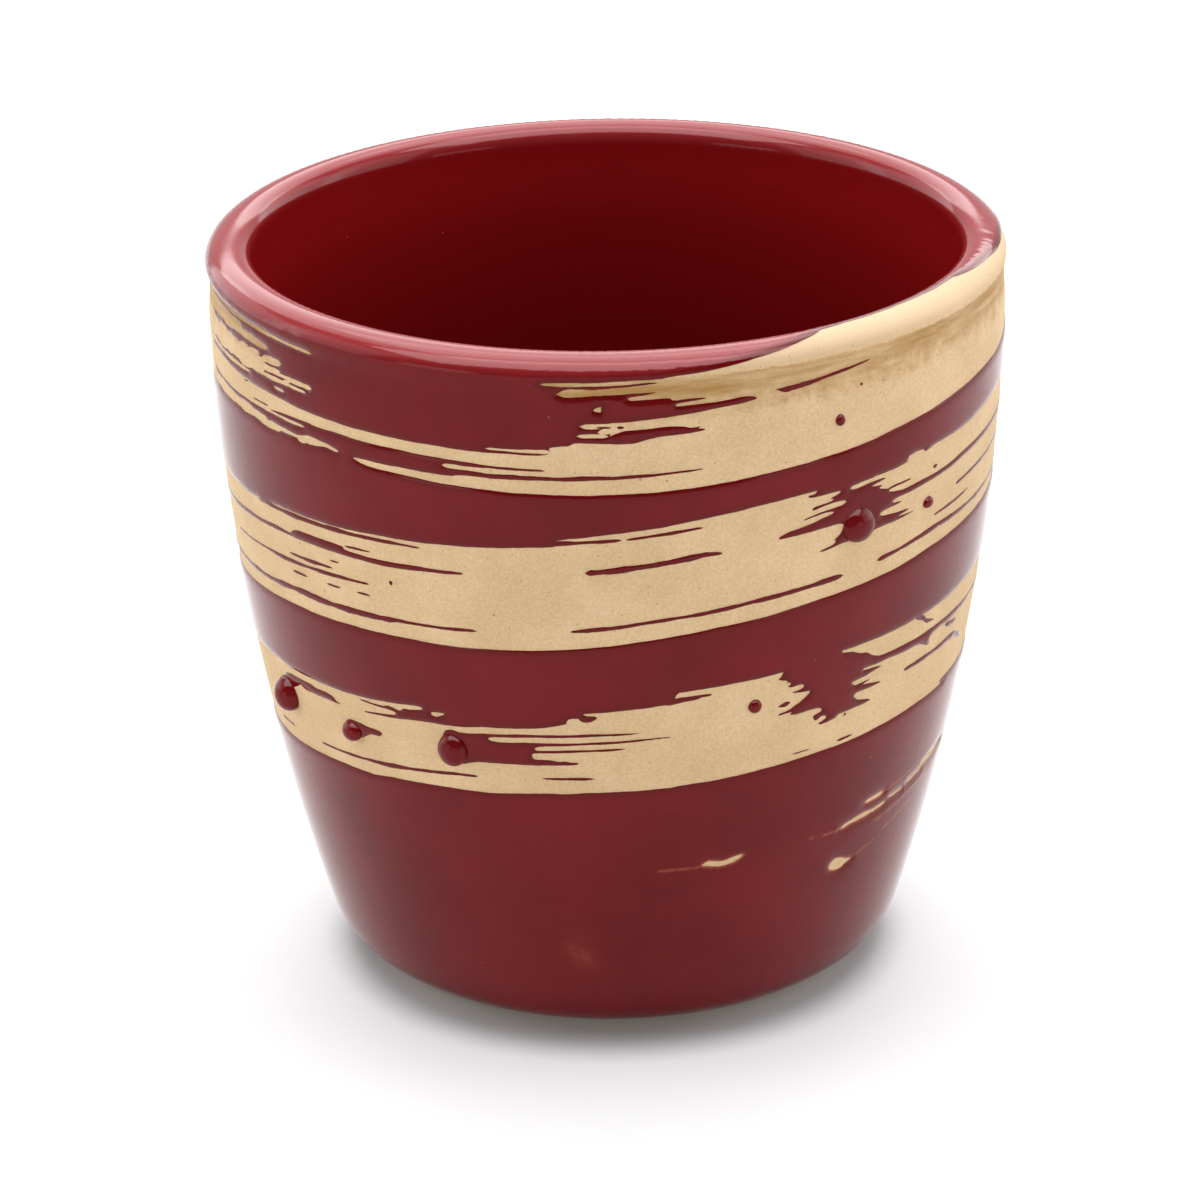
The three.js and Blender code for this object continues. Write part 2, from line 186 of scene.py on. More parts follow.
# Touches too dry to bare the clay, which only rubbed the glaze thin
FAINT_TOUCHES = (
    ((7, 20.36, 0.06), (14, 20.45, 0.14)),
    ((33.8, 21.1, 0.2), (34.8, 21.15, 0.2)),
    ((36.8, 21.0, 0.1), (40.5, 20.95, 0.16)),
    ((45, 16.6, 0.2), (48, 17.1, 0.14), (51, 17.6, 0.08)),
    ((53, 18.3, 0.1), (58, 19.1, 0.12), (64, 19.8, 0.1)),
    ((57, 22.05, 0.14), (66, 22.9, 0.2), (77, 23.6, 0.14)),
    ((51, 23.1, 0.14), (58, 23.7, 0.14), (68, 24.5, 0.1)),
    ((50, 20.0, 0.08), (58, 20.8, 0.1), (66, 21.4, 0.08)),
)

# Soft spots where the glaze takes its thin, orange colour: angle, height, reach
SMUDGES = ((-7.4, 10.6, 1.3), (-5.8, 9.8, 1.2))

# Patches where the dry brush missed and the glaze stayed whole, each a ring of angle and height
SKIPS = (
    # top turn: two tongues and two lines beside the lip
    (
        (-1.2, 71.78), (0, 71.76), (3, 71.9), (6.8, 71.98), (5, 71.75), (2.6, 71.56), (2.3, 71.4),
        (2.6, 71.22), (5, 71.27), (8.2, 71.32), (8.4, 71.05), (9, 71.02), (11, 71.1), (12.8, 71.12),
        (13.4, 70.97), (11, 70.83), (9.2, 70.75), (8.7, 70.6), (9, 70.43), (12, 70.5), (15, 70.6),
        (18, 70.75), (19.5, 70.72), (20.5, 70.45), (19.5, 70.28), (17, 70.05), (13, 69.85), (10, 69.6),
        (7, 69.4), (3, 69.2), (0, 69.12), (-1.2, 69.05),
    ),
    (
        (-1.2, 67.12), (0, 67.08), (1, 67.0), (3, 67.05), (4, 67.2), (5, 67.4), (7, 67.6), (10, 67.75),
        (12.5, 67.9), (13.1, 68.05), (11.6, 68.2), (12.7, 68.42), (11.5, 68.3), (10.8, 68.32), (10, 68.5),
        (8, 68.57), (5, 68.42), (2, 68.35), (1.1, 68.15), (0.2, 67.95), (-0.2, 67.72), (-1.2, 67.5),
    ),
    (
        (-1.2, 72.73), (0, 72.74), (3, 72.86), (5, 72.96), (6.8, 72.88), (5, 72.74), (3, 72.6), (0, 72.48),
        (-1.2, 72.46),
    ),
    (
        (-1.2, 63.74), (0, 63.78), (5, 63.92), (10, 64.08), (13.3, 64.12), (10, 63.84), (5, 63.62),
        (0, 63.43), (-1.2, 63.4),
    ),
    # middle turn: the large skip with bristle fingers to both sides
    (
        (29.6, 61.4), (29.55, 60.0), (29.2, 59.75), (28.0, 59.75), (28.2, 59.5), (28.8, 59.4), (31, 59.46),
        (33.7, 59.46), (33.2, 59.2), (31.5, 58.9), (32.6, 58.76), (31.5, 58.56), (29.0, 58.4),
        (28.85, 58.05), (29.8, 58.16), (31.5, 58.36), (34.3, 58.38), (34.6, 58.1), (33.8, 57.9),
        (31, 57.75), (29, 57.52), (27.5, 57.35), (27.6, 57.18), (29, 57.35), (31, 57.56), (32.4, 57.52),
        (32.6, 57.3), (31, 57.1), (29, 56.75), (25.8, 56.45), (25, 56.32), (23.5, 55.9), (24, 55.75),
        (28, 55.85), (31, 55.95), (33.5, 56.06), (34.4, 55.9), (34.3, 55.5), (33.9, 55.0), (33.2, 54.62),
        (32.6, 54.45), (33.2, 54.32), (32.7, 53.98), (30.3, 53.66), (30.5, 53.48), (32.5, 53.65),
        (33.5, 53.85), (35, 53.93), (36, 53.8), (37.5, 53.65), (38.8, 53.66), (39.6, 53.95), (40, 54.28),
        (42, 54.38), (45, 54.44), (48.3, 54.6), (48, 54.72), (46, 54.7), (44.4, 54.76), (46, 54.96),
        (47.4, 55.15), (45, 55.27), (43, 55.4), (41.3, 55.46), (40.8, 55.7), (41.3, 55.95), (43.5, 56.1),
        (45, 56.15), (45.4, 56.3), (44, 56.4), (43.2, 56.52), (43.8, 56.75), (45, 56.85), (50, 57.0),
        (55, 57.2), (60, 57.5), (66, 57.75), (75, 57.9), (84, 58.0), (93, 58.5), (84, 58.5), (75, 58.5),
        (66, 58.35), (62, 58.25), (58, 57.9), (55, 57.75), (50, 57.6), (47, 57.5), (45, 57.5),
        (43.3, 57.65), (42.4, 57.85), (42.6, 58.0), (44, 58.1), (46, 58.15), (47.2, 58.22), (46.8, 58.36),
        (45, 58.36), (43, 58.3), (42.2, 58.12), (41.6, 58.25), (40.4, 58.5), (40.9, 58.66), (41.3, 58.74),
        (40, 58.82), (38.9, 58.96), (39.6, 59.08), (41, 59.2), (42.1, 59.35), (41, 59.5), (38, 59.36),
        (36, 59.2), (35.2, 59.3), (35.15, 59.5), (36, 59.66), (38, 59.76), (40, 59.87), (42, 61.4),
    ),
    # low turn: made the same way
    (
        (25.5, 43.2), (25.65, 41.3), (25.4, 40.9), (24.8, 40.65), (25.4, 40.5), (26.6, 40.3), (26.2, 40.1),
        (27.3, 39.95), (26.4, 39.55), (27.5, 39.45), (28.8, 39.56), (29.5, 39.4), (29.2, 39.1),
        (28.2, 38.95), (27.2, 38.85), (28, 38.75), (29.5, 38.66), (30.6, 38.6), (30.6, 38.45), (30, 38.1),
        (29.2, 37.75), (28.6, 37.5), (28.0, 37.35), (27.6, 37.1), (26.5, 36.88), (25.2, 36.73),
        (25.4, 36.55), (26.7, 36.65), (27.9, 36.72), (27.2, 36.4), (28.5, 36.25), (30.5, 36.35),
        (32.5, 36.4), (33.2, 36.1), (32.9, 35.85), (32.0, 35.7), (31.45, 35.6), (31.8, 35.1), (32.4, 34.97),
        (32.8, 35.25), (33.4, 35.37), (34.3, 35.1), (34.0, 34.93), (33.4, 34.76), (32.5, 34.62),
        (33.0, 34.35), (34.0, 34.4), (35.5, 34.6), (36.4, 34.75), (36.1, 34.93), (38, 35.0), (40, 35.08),
        (41.5, 35.1), (43.2, 35.25), (42.5, 35.5), (41, 35.7), (40, 35.85), (39.5, 36.2), (39.1, 36.5),
        (39.8, 36.75), (42, 36.75), (45.0, 36.86), (44.5, 37.05), (42.8, 37.2), (41.6, 37.34),
        (40.6, 37.45), (42.2, 37.64), (42.4, 37.8), (41, 37.76), (40.1, 37.7), (39.3, 37.6), (38.7, 37.85),
        (38.3, 38.1), (39.5, 38.2), (41, 38.3), (43, 38.55), (44.7, 38.7), (44, 38.9), (42, 38.96),
        (40.6, 39.0), (40.3, 39.2), (41.5, 39.26), (44, 39.2), (46, 39.25), (50, 39.15), (53.5, 39.1),
        (54.8, 38.8), (56.2, 38.36), (57.1, 38.3), (56.6, 38.9), (57.5, 39.4), (60, 39.55), (63, 39.4),
        (66, 39.5), (72, 39.6), (80, 39.5), (88, 39.9), (80, 40.0), (72, 40.1), (65, 40.2), (60, 40.16),
        (55, 40.06), (50, 40.0), (46, 39.97), (44, 40.0), (43, 40.2), (42, 40.5), (41.2, 40.85),
        (40.8, 40.98), (39.5, 41.1), (38.5, 41.4), (37.8, 41.65), (36.5, 41.77), (35.75, 41.88),
        (36.0, 42.06), (37.5, 43.2),
    ),
    # low turn, left: a bead ran out into four bristle lines
    (
        (-27.45, 32.8), (-27.2, 34.0), (-26.8, 35.0), (-26.2, 35.5), (-25, 35.6), (-24, 35.42), (-22, 35.5),
        (-20, 35.72), (-15, 36.0), (-10, 36.2), (-5, 36.38), (0, 36.52), (4.8, 36.5), (0, 36.25),
        (-5, 36.08), (-10, 35.9), (-15, 35.65), (-18, 35.5), (-19.2, 35.35), (-19.4, 35.12), (-18.8, 34.95),
        (-17, 34.97), (-15, 35.1), (-10, 35.28), (-5, 35.43), (0, 35.64), (5, 35.84), (9.4, 35.87),
        (5, 35.62), (0, 35.38), (-5, 35.17), (-10, 34.95), (-11.7, 34.78), (-12.2, 34.55), (-11.8, 34.35),
        (-10, 34.46), (-5, 34.63), (0, 34.84), (2.2, 34.8), (0, 34.58), (-5, 34.38), (-10, 34.15),
        (-12, 34.1), (-12.6, 33.9), (-12.4, 33.35), (-10, 33.42), (-8.5, 33.2), (-7.5, 33.32),
        (-6.5, 33.17), (-5.6, 33.24), (-5.3, 33.05), (-6.5, 32.9), (-9, 32.77), (-12, 32.7), (-15, 32.6),
        (-19, 32.45), (-21.5, 32.35), (-23, 32.1), (-24, 31.85), (-25.5, 31.75), (-26.8, 31.95),
        (-27.35, 32.4),
    ),
    # low turn, far left: a bead with its trailing patch
    (
        (-63.6, 34.2), (-62, 35.2), (-56, 35.5), (-53.6, 35.6), (-53.2, 35.42), (-51, 35.56),
        (-48.4, 35.46), (-48.0, 35.1), (-46.3, 34.86), (-50, 34.75), (-54, 34.6), (-57, 34.5),
        (-57.6, 34.8), (-58.6, 34.3), (-61, 33.6),
    ),
    (
        (-46.6, 32.2), (-46.3, 33.2), (-45.2, 33.6), (-43, 33.6), (-41.5, 33.45), (-39.5, 33.46),
        (-38.6, 33.4), (-38.3, 33.1), (-39, 32.76), (-41, 32.7), (-42, 32.3), (-43, 31.85), (-44.5, 31.55),
        (-46, 31.65),
    ),
    # notches in the upper edge of the low turn
    (
        (-28, 37.9), (-30, 37.22), (-32, 36.92), (-33.5, 36.87), (-34, 36.42), (-35, 36.57), (-36.5, 36.72),
        (-37.2, 36.52), (-42.2, 36.46), (-42, 36.3), (-37, 36.26), (-35.5, 36.2), (-34.8, 36.05),
        (-35.5, 35.76), (-41.6, 35.22), (-41.3, 35.05), (-35, 35.5), (-30, 35.9), (-25, 36.02), (-24, 36.6),
    ),
    (
        (-5.6, 38.6), (-5.2, 38.0), (-4.6, 37.76), (-3.6, 37.76), (-2.9, 38.0), (-2.3, 38.32), (-3, 38.44),
        (-4.3, 38.44), (-4.8, 38.8),
    ),
    (
        (7.6, 39.8), (9, 40.15), (12, 40.26), (14.6, 40.26), (14.3, 40.05), (13, 40.0), (12.3, 39.76),
        (10, 39.6), (7.6, 39.3),
    ),
    # middle turn, left: a thick streak
    (
        (-84, 50.6), (-72, 51.45), (-65, 51.85), (-60, 52.1), (-57, 52.35), (-53, 52.3), (-52.6, 52.7),
        (-51.5, 53.0), (-48, 53.1), (-43, 53.2), (-41.3, 53.16), (-41.1, 52.78), (-35, 52.8), (-28, 53.0),
        (-21.4, 53.1), (-21.0, 52.94), (-22, 52.8), (-28, 52.5), (-35, 52.2), (-41, 52.25), (-45, 52.15),
        (-52, 52.05), (-57, 51.85), (-62, 51.6), (-70, 51.0), (-84, 50.2),
    ),
    # at the back, where the brush skipped once more
    (
        (150, 49.2), (148, 46.9), (151, 46.3), (146, 45.6), (153, 45.2), (149, 44.3), (156, 44.0),
        (151, 43.1), (158, 42.9), (162, 42.2), (168, 42.6), (174, 42.9), (168, 43.4), (172, 44.1),
        (166, 44.6), (175, 45.4), (167, 45.6), (171, 46.6), (165, 47.2), (168, 49.4),
    ),
)

# Bristle streaks of glaze on the bare band, each a path of angle, height and width
STREAKS = (
    # low turn
    (
        (-54.6, 28.85, 0.2), (-44, 29.4, 0.24), (-38.5, 29.65, 0.4), (-30, 30.2, 0.26), (-25, 30.6, 0.3),
        (-21.6, 30.72, 0.2),
    ),
    ((-11.3, 31.2, 0.14), (-8, 31.3, 0.26), (-5, 31.38, 0.24), (-3, 31.4, 0.1)),
    (
        (50.3, 37.0, 0.36), (55, 37.05, 0.4), (64, 37.1, 0.46), (67, 36.95, 0.7), (69, 36.4, 0.6),
        (71.5, 35.7, 0.3),
    ),
    ((51.5, 42.5, 0.4), (54, 41.9, 0.4), (55, 41.3, 0.35), (57.4, 40.95, 0.2)),
    ((25.1, 37.55, 0.16), (26.2, 37.66, 0.36), (27.3, 37.8, 0.3)),
    ((28.4, 31.75, 0.1), (31.7, 31.85, 0.14)),
    ((36.8, 31.85, 0.34), (40.1, 31.98, 0.2)),
    ((64, 32.3, 0.4), (71, 32.35, 0.4), (76, 32.4, 0.3)),
    ((-70, 28.3, 0.2), (-64, 28.5, 0.2)),
    ((62, 39.2, 0.3), (64, 38.8, 0.5), (67, 38.6, 0.3)),
    # middle turn
    ((-41, 53.2, 0.16), (-39, 53.32, 0.22), (-36, 53.4, 0.12)),
    ((-54, 50.05, 0.2), (-49, 50.2, 0.3), (-43.9, 50.36, 0.22)),
    ((-44.5, 51.15, 0.14), (-42.4, 51.2, 0.2)),
    (
        (-74, 48.1, 0.16), (-61, 48.95, 0.18), (-58.6, 49.05, 0.4), (-50, 49.35, 0.28), (-43, 49.65, 0.34),
        (-36.9, 49.85, 0.16),
    ),
    ((-53.8, 48.15, 0.2), (-50, 48.25, 0.22)),
    ((-45.7, 48.4, 0.2), (-42.6, 48.45, 0.22)),
    ((-39.6, 48.6, 0.22), (-36.9, 48.62, 0.2)),
    (
        (-88, 44.3, 0.4), (-70, 45.2, 0.4), (-60, 45.72, 0.4), (-52, 46.25, 0.55), (-45, 46.28, 0.5),
        (-34, 46.5, 0.5), (-32.5, 46.62, 0.26), (-19.6, 47.0, 0.24),
    ),
    ((-62, 54.1, 0.3), (-50, 54.5, 0.4), (-42, 54.72, 0.36), (-35, 54.85, 0.3), (-27.6, 55.02, 0.16)),
    ((-9, 56.8, 0.5), (-5, 56.98, 0.3), (1.4, 57.3, 0.22)),
    ((1.9, 57.28, 0.2), (7, 57.7, 0.26), (12.7, 58.1, 0.2)),
    ((-3.8, 53.88, 0.5), (0, 54.1, 0.46), (8, 54.75, 0.44), (13, 55.22, 0.44), (15.5, 55.2, 0.3)),
    ((-6.1, 47.65, 0.26), (0, 48.05, 0.36), (5, 48.5, 0.26), (20, 49.6, 0.36), (34.8, 50.45, 0.42)),
    (
        (41, 50.85, 0.36), (45, 51.1, 0.32), (52, 51.6, 0.4), (55, 51.8, 0.5), (62, 51.75, 0.34),
        (72, 51.8, 0.36), (90, 51.9, 0.3),
    ),
    ((59.2, 55.05, 0.24), (63, 55.2, 0.34), (70, 55.4, 0.3), (82, 55.5, 0.3)),
    ((53.4, 53.05, 0.2), (58, 53.25, 0.26), (64.2, 53.55, 0.16)),
    ((52.2, 58.35, 0.3), (53.3, 58.4, 0.4)),
    # top turn
    ((23.0, 71.05, 0.1), (24.4, 70.85, 0.4), (28, 71.05, 0.34), (32, 71.4, 0.26), (38.4, 71.95, 0.12)),
    ((0.9, 68.66, 0.2), (1.9, 68.62, 0.18)),
    ((-1.9, 68.66, 0.14), (0.2, 68.64, 0.14)),
    ((-60.2, 65.0, 0.12), (-55.6, 65.08, 0.18)),
    ((-62.8, 66.3, 0.12), (-61.2, 66.45, 0.16)),
    ((-56.4, 69.42, 0.16), (-53.4, 69.4, 0.14)),
    ((-55.1, 68.6, 0.1), (-50.7, 68.62, 0.16)),
    ((-50.2, 68.4, 0.1), (-46, 68.4, 0.14)),
    # round the back
    ((92, 38.4, 0.3), (110, 39.6, 0.4), (126, 40.4, 0.2)),
    ((104, 35.6, 0.3), (124, 37.0, 0.3), (140, 38.0, 0.2)),
    ((98, 41.4, 0.3), (108, 42.2, 0.3), (118, 42.6, 0.2)),
    ((-172, 46.6, 0.3), (-158, 47.4, 0.4), (-146, 47.9, 0.2)),
    ((-168, 41.6, 0.3), (-140, 43.4, 0.4), (-118, 44.6, 0.2)),
    ((-150, 44.9, 0.2), (-136, 45.8, 0.4), (-128, 46.1, 0.2)),
    ((-112, 49.8, 0.2), (-98, 50.6, 0.4), (-88, 50.9, 0.2)),
    ((-120, 46.2, 0.3), (-104, 47.2, 0.3), (-96, 47.5, 0.2)),
    ((96, 60.6, 0.3), (114, 61.8, 0.4), (128, 62.4, 0.2)),
    ((102, 55.8, 0.3), (130, 57.6, 0.4), (150, 58.4, 0.2)),
    ((140, 62.0, 0.2), (160, 63.4, 0.5), (172, 63.9, 0.2)),
    ((-174, 60.4, 0.3), (-150, 62.4, 0.4), (-132, 63.2, 0.2)),
    ((-166, 65.2, 0.2), (-140, 67.2, 0.5), (-122, 68.0, 0.2)),
    ((-128, 61.8, 0.3), (-112, 62.9, 0.3), (-100, 63.2, 0.2)),
    ((-118, 66.0, 0.2), (-104, 66.6, 0.4), (-92, 66.9, 0.2)),
    ((-170, 28.6, 0.3), (-140, 29.4, 0.4), (-112, 30.8, 0.2)),
    ((-150, 26.6, 0.2), (-126, 27.2, 0.3), (-108, 27.9, 0.2)),
    ((118, 70.2, 0.2), (132, 70.9, 0.4), (146, 71.4, 0.2)),
)

# Beads of glaze: CAD node, angle, height, width across, height up the wall, how far it stands out,
# how far its fullest point hangs down, and whether it lies on the glaze
BEADS = (
    ("low_bead_1", -62.6, 32.7, 3.6, 3.7, 1.6, 0.06, False),
    ("low_bead_2", -44.9, 32.4, 2.5, 2.1, 0.95, 0.06, False),
    ("low_bead_3", -25.3, 33.45, 3.2, 3.5, 1.25, 0.05, False),
    ("low_bead_4", 21.3, 38.2, 1.4, 1.4, 0.5, 0.08, False),
    ("middle_bead_1", 37.0, 55.4, 3.9, 3.5, 1.05, 0.08, True),
    ("middle_bead_2", 51.5, 54.9, 1.5, 1.15, 0.45, 0.05, False),
    ("top_bead_1", 33.0, 66.75, 1.05, 1.15, 0.42, 0.05, False),
)

# Dots of glaze too small to stand out: angle, height, across
DOTS = (
    (-33.0, 50.6, 0.46), (22.3, 70.6, 0.26), (36.7, 69.75, 0.3), (36.9, 69.4, 0.18), (18.7, 67.08, 0.22),
    (10.1, 62.95, 0.22), (37.8, 34.7, 0.34), (-28.0, 35.8, 0.24), (100.0, 57.2, 0.9), (-140.0, 40.9, 1.2),
    (122.0, 39.0, 0.7), (-96.0, 64.6, 0.8),
)


def length(name, metres, what):
    return FloatProperty(name=name, description=what, default=metres, min=0.0, unit="LENGTH", precision=5)


def colour(name, rgb, what):
    return FloatVectorProperty(
        name=name, description=what, default=rgb, size=3, min=0.0, max=1.0, subtype="COLOR"
    )


class CupSizes(bpy.types.PropertyGroup):
    """Sizes of the cup, the same as the solids it dresses"""

    height: length("Height", CAD_HIGH.z - CAD_LOW.z, "From the table to the glazed crest of the lip")
    rim_radius: length("Rim radius", (CAD_HIGH.y - CAD_LOW.y) / 2, "From the axis to the outside of the lip")
    wall: length("Wall", 0.0036, "Thickness of the clay wall")
    wall_bow: length("Bow of the wall", 0.235, "Radius of the slow bow of the wall")
    base_round: length("Base round", 0.0065, "Radius where the wall turns under")
    foot_setback: length("Foot setback", 0.001, "How far the foot stands in from the base round's centre")
    foot_width: length("Foot width", 0.0036, "Width of the foot ring")
    foot_height: length("Foot height", 0.0008, "How far the foot lifts the base off the table")
    foot_bevel: length("Foot bevel", 0.0004, "Worn outer edge of the foot ring")
    recess: length("Recess", 0.0016, "Depth of the hollow inside the foot ring")
    floor: length("Floor", 0.005, "Thickness of the clay floor")
    well_round: length("Well round", 0.014, "Radius between the inside wall and the floor")
    neck: length("Neck", 0.00024, "Depth of the hollow under the rolled lip")
    lip_set: length("Lip set", 0.0007, "How far the crest of the lip is set towards the inside")
    inner_lean: length("Inner lean", 0.0006, "How far the inside leans in below the lip")
    lean_run: length("Lean run", 0.0076, "How far down the inside leans in")
    glaze: length("Glaze", 0.00014, "Thickness of the glaze away from its edges")
    glaze_room: length("Room for glaze", 0.00024, "From the clay to the outermost glaze")
    seat: length("Seat", 0.00002, "Gap between clay and glaze")
    edge_round: length("Edge round", 0.0006, "Width over which the glaze rises from its edge")
    edge_roll: length("Edge roll", 0.00001, "How much thicker the glaze gathers along its edge")
    lap: length("Lap", 0.004, "How far the outer glaze laps down inside the lip")
    glaze_stop: FloatProperty(
        name="Glaze stop",
        description="How far under the base the outer glaze goes",
        default=math.radians(68),
        subtype="ANGLE",
    )
    marks_lift: length("Lift of the brush map", 0.00076, "From the table to the brush map's zero")
    segments: IntProperty(
        name="Segments", description="Facets of a turned piece", default=176, min=24, max=400
    )


class CupColours(bpy.types.PropertyGroup):
    """Colours of the clay, the glaze and the floor"""

    clay: colour("Clay", (0.575, 0.385, 0.20), "Bare fired clay")
    clay_light: colour("Light clay", (0.72, 0.52, 0.30), "Paler grains and cloudy places of the clay")
    # Partly painted shade: the toasted band is browned clay and also stands for the shade under the lip
    clay_toast_and_shade: colour("Toasted clay", (0.35, 0.185, 0.045), "Band of clay browned under the lip")
    # Painted shade: the clay over the round of the lip is toned down against the light that falls on it
    clay_lip_painted_shade: colour("Clay on the lip", (0.52, 0.37, 0.22), "Clay burnished pale over the round of the lip")
    clay_speck: colour("Specks", (0.16, 0.095, 0.05), "Iron specks in the clay")
    glaze: colour("Glaze", (0.155, 0.0042, 0.0056), "Full red glaze")
    glaze_deep: colour("Deep glaze", (0.122, 0.0022, 0.0032), "Glaze where it lies thick")
    glaze_thin: colour("Thin glaze", (0.34, 0.085, 0.04), "Glaze rubbed thin round the dry touches")
    # Partly painted highlight: the crest of the lip is made paler besides its thinner glaze
    glaze_lip_thin_and_highlight: colour("Glaze on the lip", (0.27, 0.022, 0.026), "Glaze drawn thin over the crest of the lip")
    # Painted light: the inside of the cup is made paler to lift its shade
    glaze_inside_painted_light: colour("Glaze inside", (0.205, 0.005, 0.006), "Glaze pooled on the inside")
    glaze_speck: colour("Pinholes", (0.52, 0.27, 0.25), "Small pale pinholes in the glaze")
    floor: colour("Studio floor", (0.61, 0.617, 0.625), "Plain pale floor")


def sizes_mm():
    """The sizes in millimetres, with the angle and the count as they are"""
    held = bpy.context.scene.cup_sizes
    values = {name: getattr(held, name) for name in CupSizes.__annotations__}
    return SimpleNamespace(**{k: v if k in ("glaze_stop", "segments") else v / MM for k, v in values.items()})


# The hollow under the lip, in millimetres down the wall: where its fall starts and how long it is, then
# where the wall starts to rise out of it and how long that takes
NECK_START, NECK_FALL = -0.3, 1.7
NECK_END, NECK_RISE = 1.4, 4.2
# How far down the inside the lean of the lip eases out
LEAN_EASE = 24


def smooth(share):
    """A soft step from 0 to 1"""
    share = np.clip(share, 0, 1)
    return share * share * (3 - 2 * share)


class Section:
    """The cup's clay section in millimetres: arcs that run into each other, followed by the distance
    down the outside from the crest of the lip, with the inside below zero"""

    def __init__(self, size):
        self.size = size
        self.lip = size.wall / 2
        self.lip_radius = size.rim_radius - size.glaze_room - self.lip
        self.lip_height = size.height - size.glaze_room - self.lip
        self.bow_radius = self.lip_radius + self.lip - size.wall_bow
        self.base_height = size.foot_height + size.base_round
        self.base_radius = self.touching(size.wall_bow, size.base_round, self.base_height)
        self.floor_height = size.recess + size.floor
        self.well_height = self.floor_height + size.well_round
        self.inner_bow = size.wall_bow - size.wall
        self.well_radius = self.touching(self.inner_bow, size.well_round, self.well_height)
        self.base_angle = math.atan2(self.base_height - self.lip_height, self.base_radius - self.bow_radius)
        self.well_angle = math.atan2(self.well_height - self.lip_height, self.well_radius - self.bow_radius)
        self.quarter = self.lip * math.pi / 2
        self.wall_run = -self.base_angle * size.wall_bow
        self.inner_run = self.inner_bow * -self.well_angle
        self.stop = self.quarter + self.wall_run + (size.glaze_stop + self.base_angle) * size.base_round
        self.start = -self.quarter - size.lap

    def touching(self, bow, round_radius, height):
        """Radius of the centre of a round that runs into the bow of the wall"""
        reach = math.sqrt((bow - round_radius) ** 2 - (height - self.lip_height) ** 2)
        return self.bow_radius + reach

    def neck(self, down):
        """The shallow hollow under the rolled lip"""
        fall = smooth((down - self.quarter - NECK_START) / NECK_FALL)
        rise = smooth((down - self.quarter - NECK_END) / NECK_RISE)
        return self.size.neck * fall * (1 - rise)

    def lean(self, down):
        """How far the crest and the inside stand in, easing out again down the wall"""
        size = self.size
        deep = np.maximum(-self.quarter - down, 0)
        rolled = 1 - np.sin(np.clip(down, 0, self.quarter) / self.lip)
        leaned = smooth(deep / size.lean_run)
        eased = 1 - smooth((deep - size.lean_run) / LEAN_EASE)
        return (size.lip_set * rolled + size.inner_lean * leaned) * eased

    def place(self, down, off):
        """Radius and height at a distance down from the crest, lifted off the clay"""
        size = self.size
        down = np.asarray(down, float)
        past = down - self.quarter - self.wall_run
        lip = math.pi / 2 - np.clip(down, -self.quarter, self.quarter) / self.lip
        wall = -np.clip(down - self.quarter, 0, self.wall_run) / size.wall_bow
        base = self.base_angle - np.maximum(past, 0) / size.base_round
        inside = np.minimum(down + self.quarter, 0) / self.inner_bow
        radius = self.lip_radius + (self.lip + off) * np.cos(lip)
        height = self.lip_height + (self.lip + off) * np.sin(lip)
        stretches = (
            (down > self.quarter, self.bow_radius, self.lip_height, size.wall_bow + off, wall),
            (past > 0, self.base_radius, self.base_height, size.base_round + off, base),
            (down < -self.quarter, self.bow_radius, self.lip_height, self.inner_bow - off, inside),
        )
        for here, centre_radius, centre_height, reach, turn in stretches:
            radius = np.where(here, centre_radius + reach * np.cos(turn), radius)
            height = np.where(here, centre_height + reach * np.sin(turn), height)
        return radius - self.neck(down) - self.lean(down), height

    def down_at(self, mark):
        """Distance down from the crest for a height of the brush map"""
        size = self.size
        height = np.asarray(mark, float) + size.marks_lift
        crest = size.height
        reach = self.lip + size.glaze_room
        lip = np.arcsin(np.clip((height - self.lip_height) / reach, -1, 1))
        down = (math.pi / 2 - lip) * self.lip
        down = np.where(height > crest, crest - height, down)
        wall = np.arcsin(np.clip((height - self.lip_height) / size.wall_bow, -1, 1))
        down = np.where(height < self.lip_height, self.quarter - wall * size.wall_bow, down)
        corner = self.lip_height + size.wall_bow * math.sin(self.base_angle)
        base = np.arcsin(np.clip((height - self.base_height) / size.base_round, -1, 1))
        under = self.quarter + self.wall_run + (self.base_angle - base) * size.base_round
        return np.where(height < corner, under, down)

    def well(self, off, count):
        """The round of the well and the floor up to the axis, lifted off the clay"""
        reach = self.size.well_round - off
        floor = self.floor_height + off
        turns = np.linspace(self.well_angle, -math.pi / 2, count)[1:]
        radii = self.well_radius + reach * np.cos(turns)
        heights = self.well_height + reach * np.sin(turns)
        return list(zip(radii, heights)) + [(self.well_radius / 2, floor), (0, floor)]


# Points of a turned line closer than this in metres are one
WELD = 1e-6
# Edges that bend less than this are shaded smooth
TURNED_SMOOTH = math.radians(40)
GLAZE_SMOOTH = math.radians(75)
BEAD_SMOOTH = math.radians(70)


def clear_selection():
    if bpy.context.mode != "OBJECT":
        bpy.ops.object.mode_set(mode="OBJECT")
    bpy.ops.object.select_all(action="DESELECT")


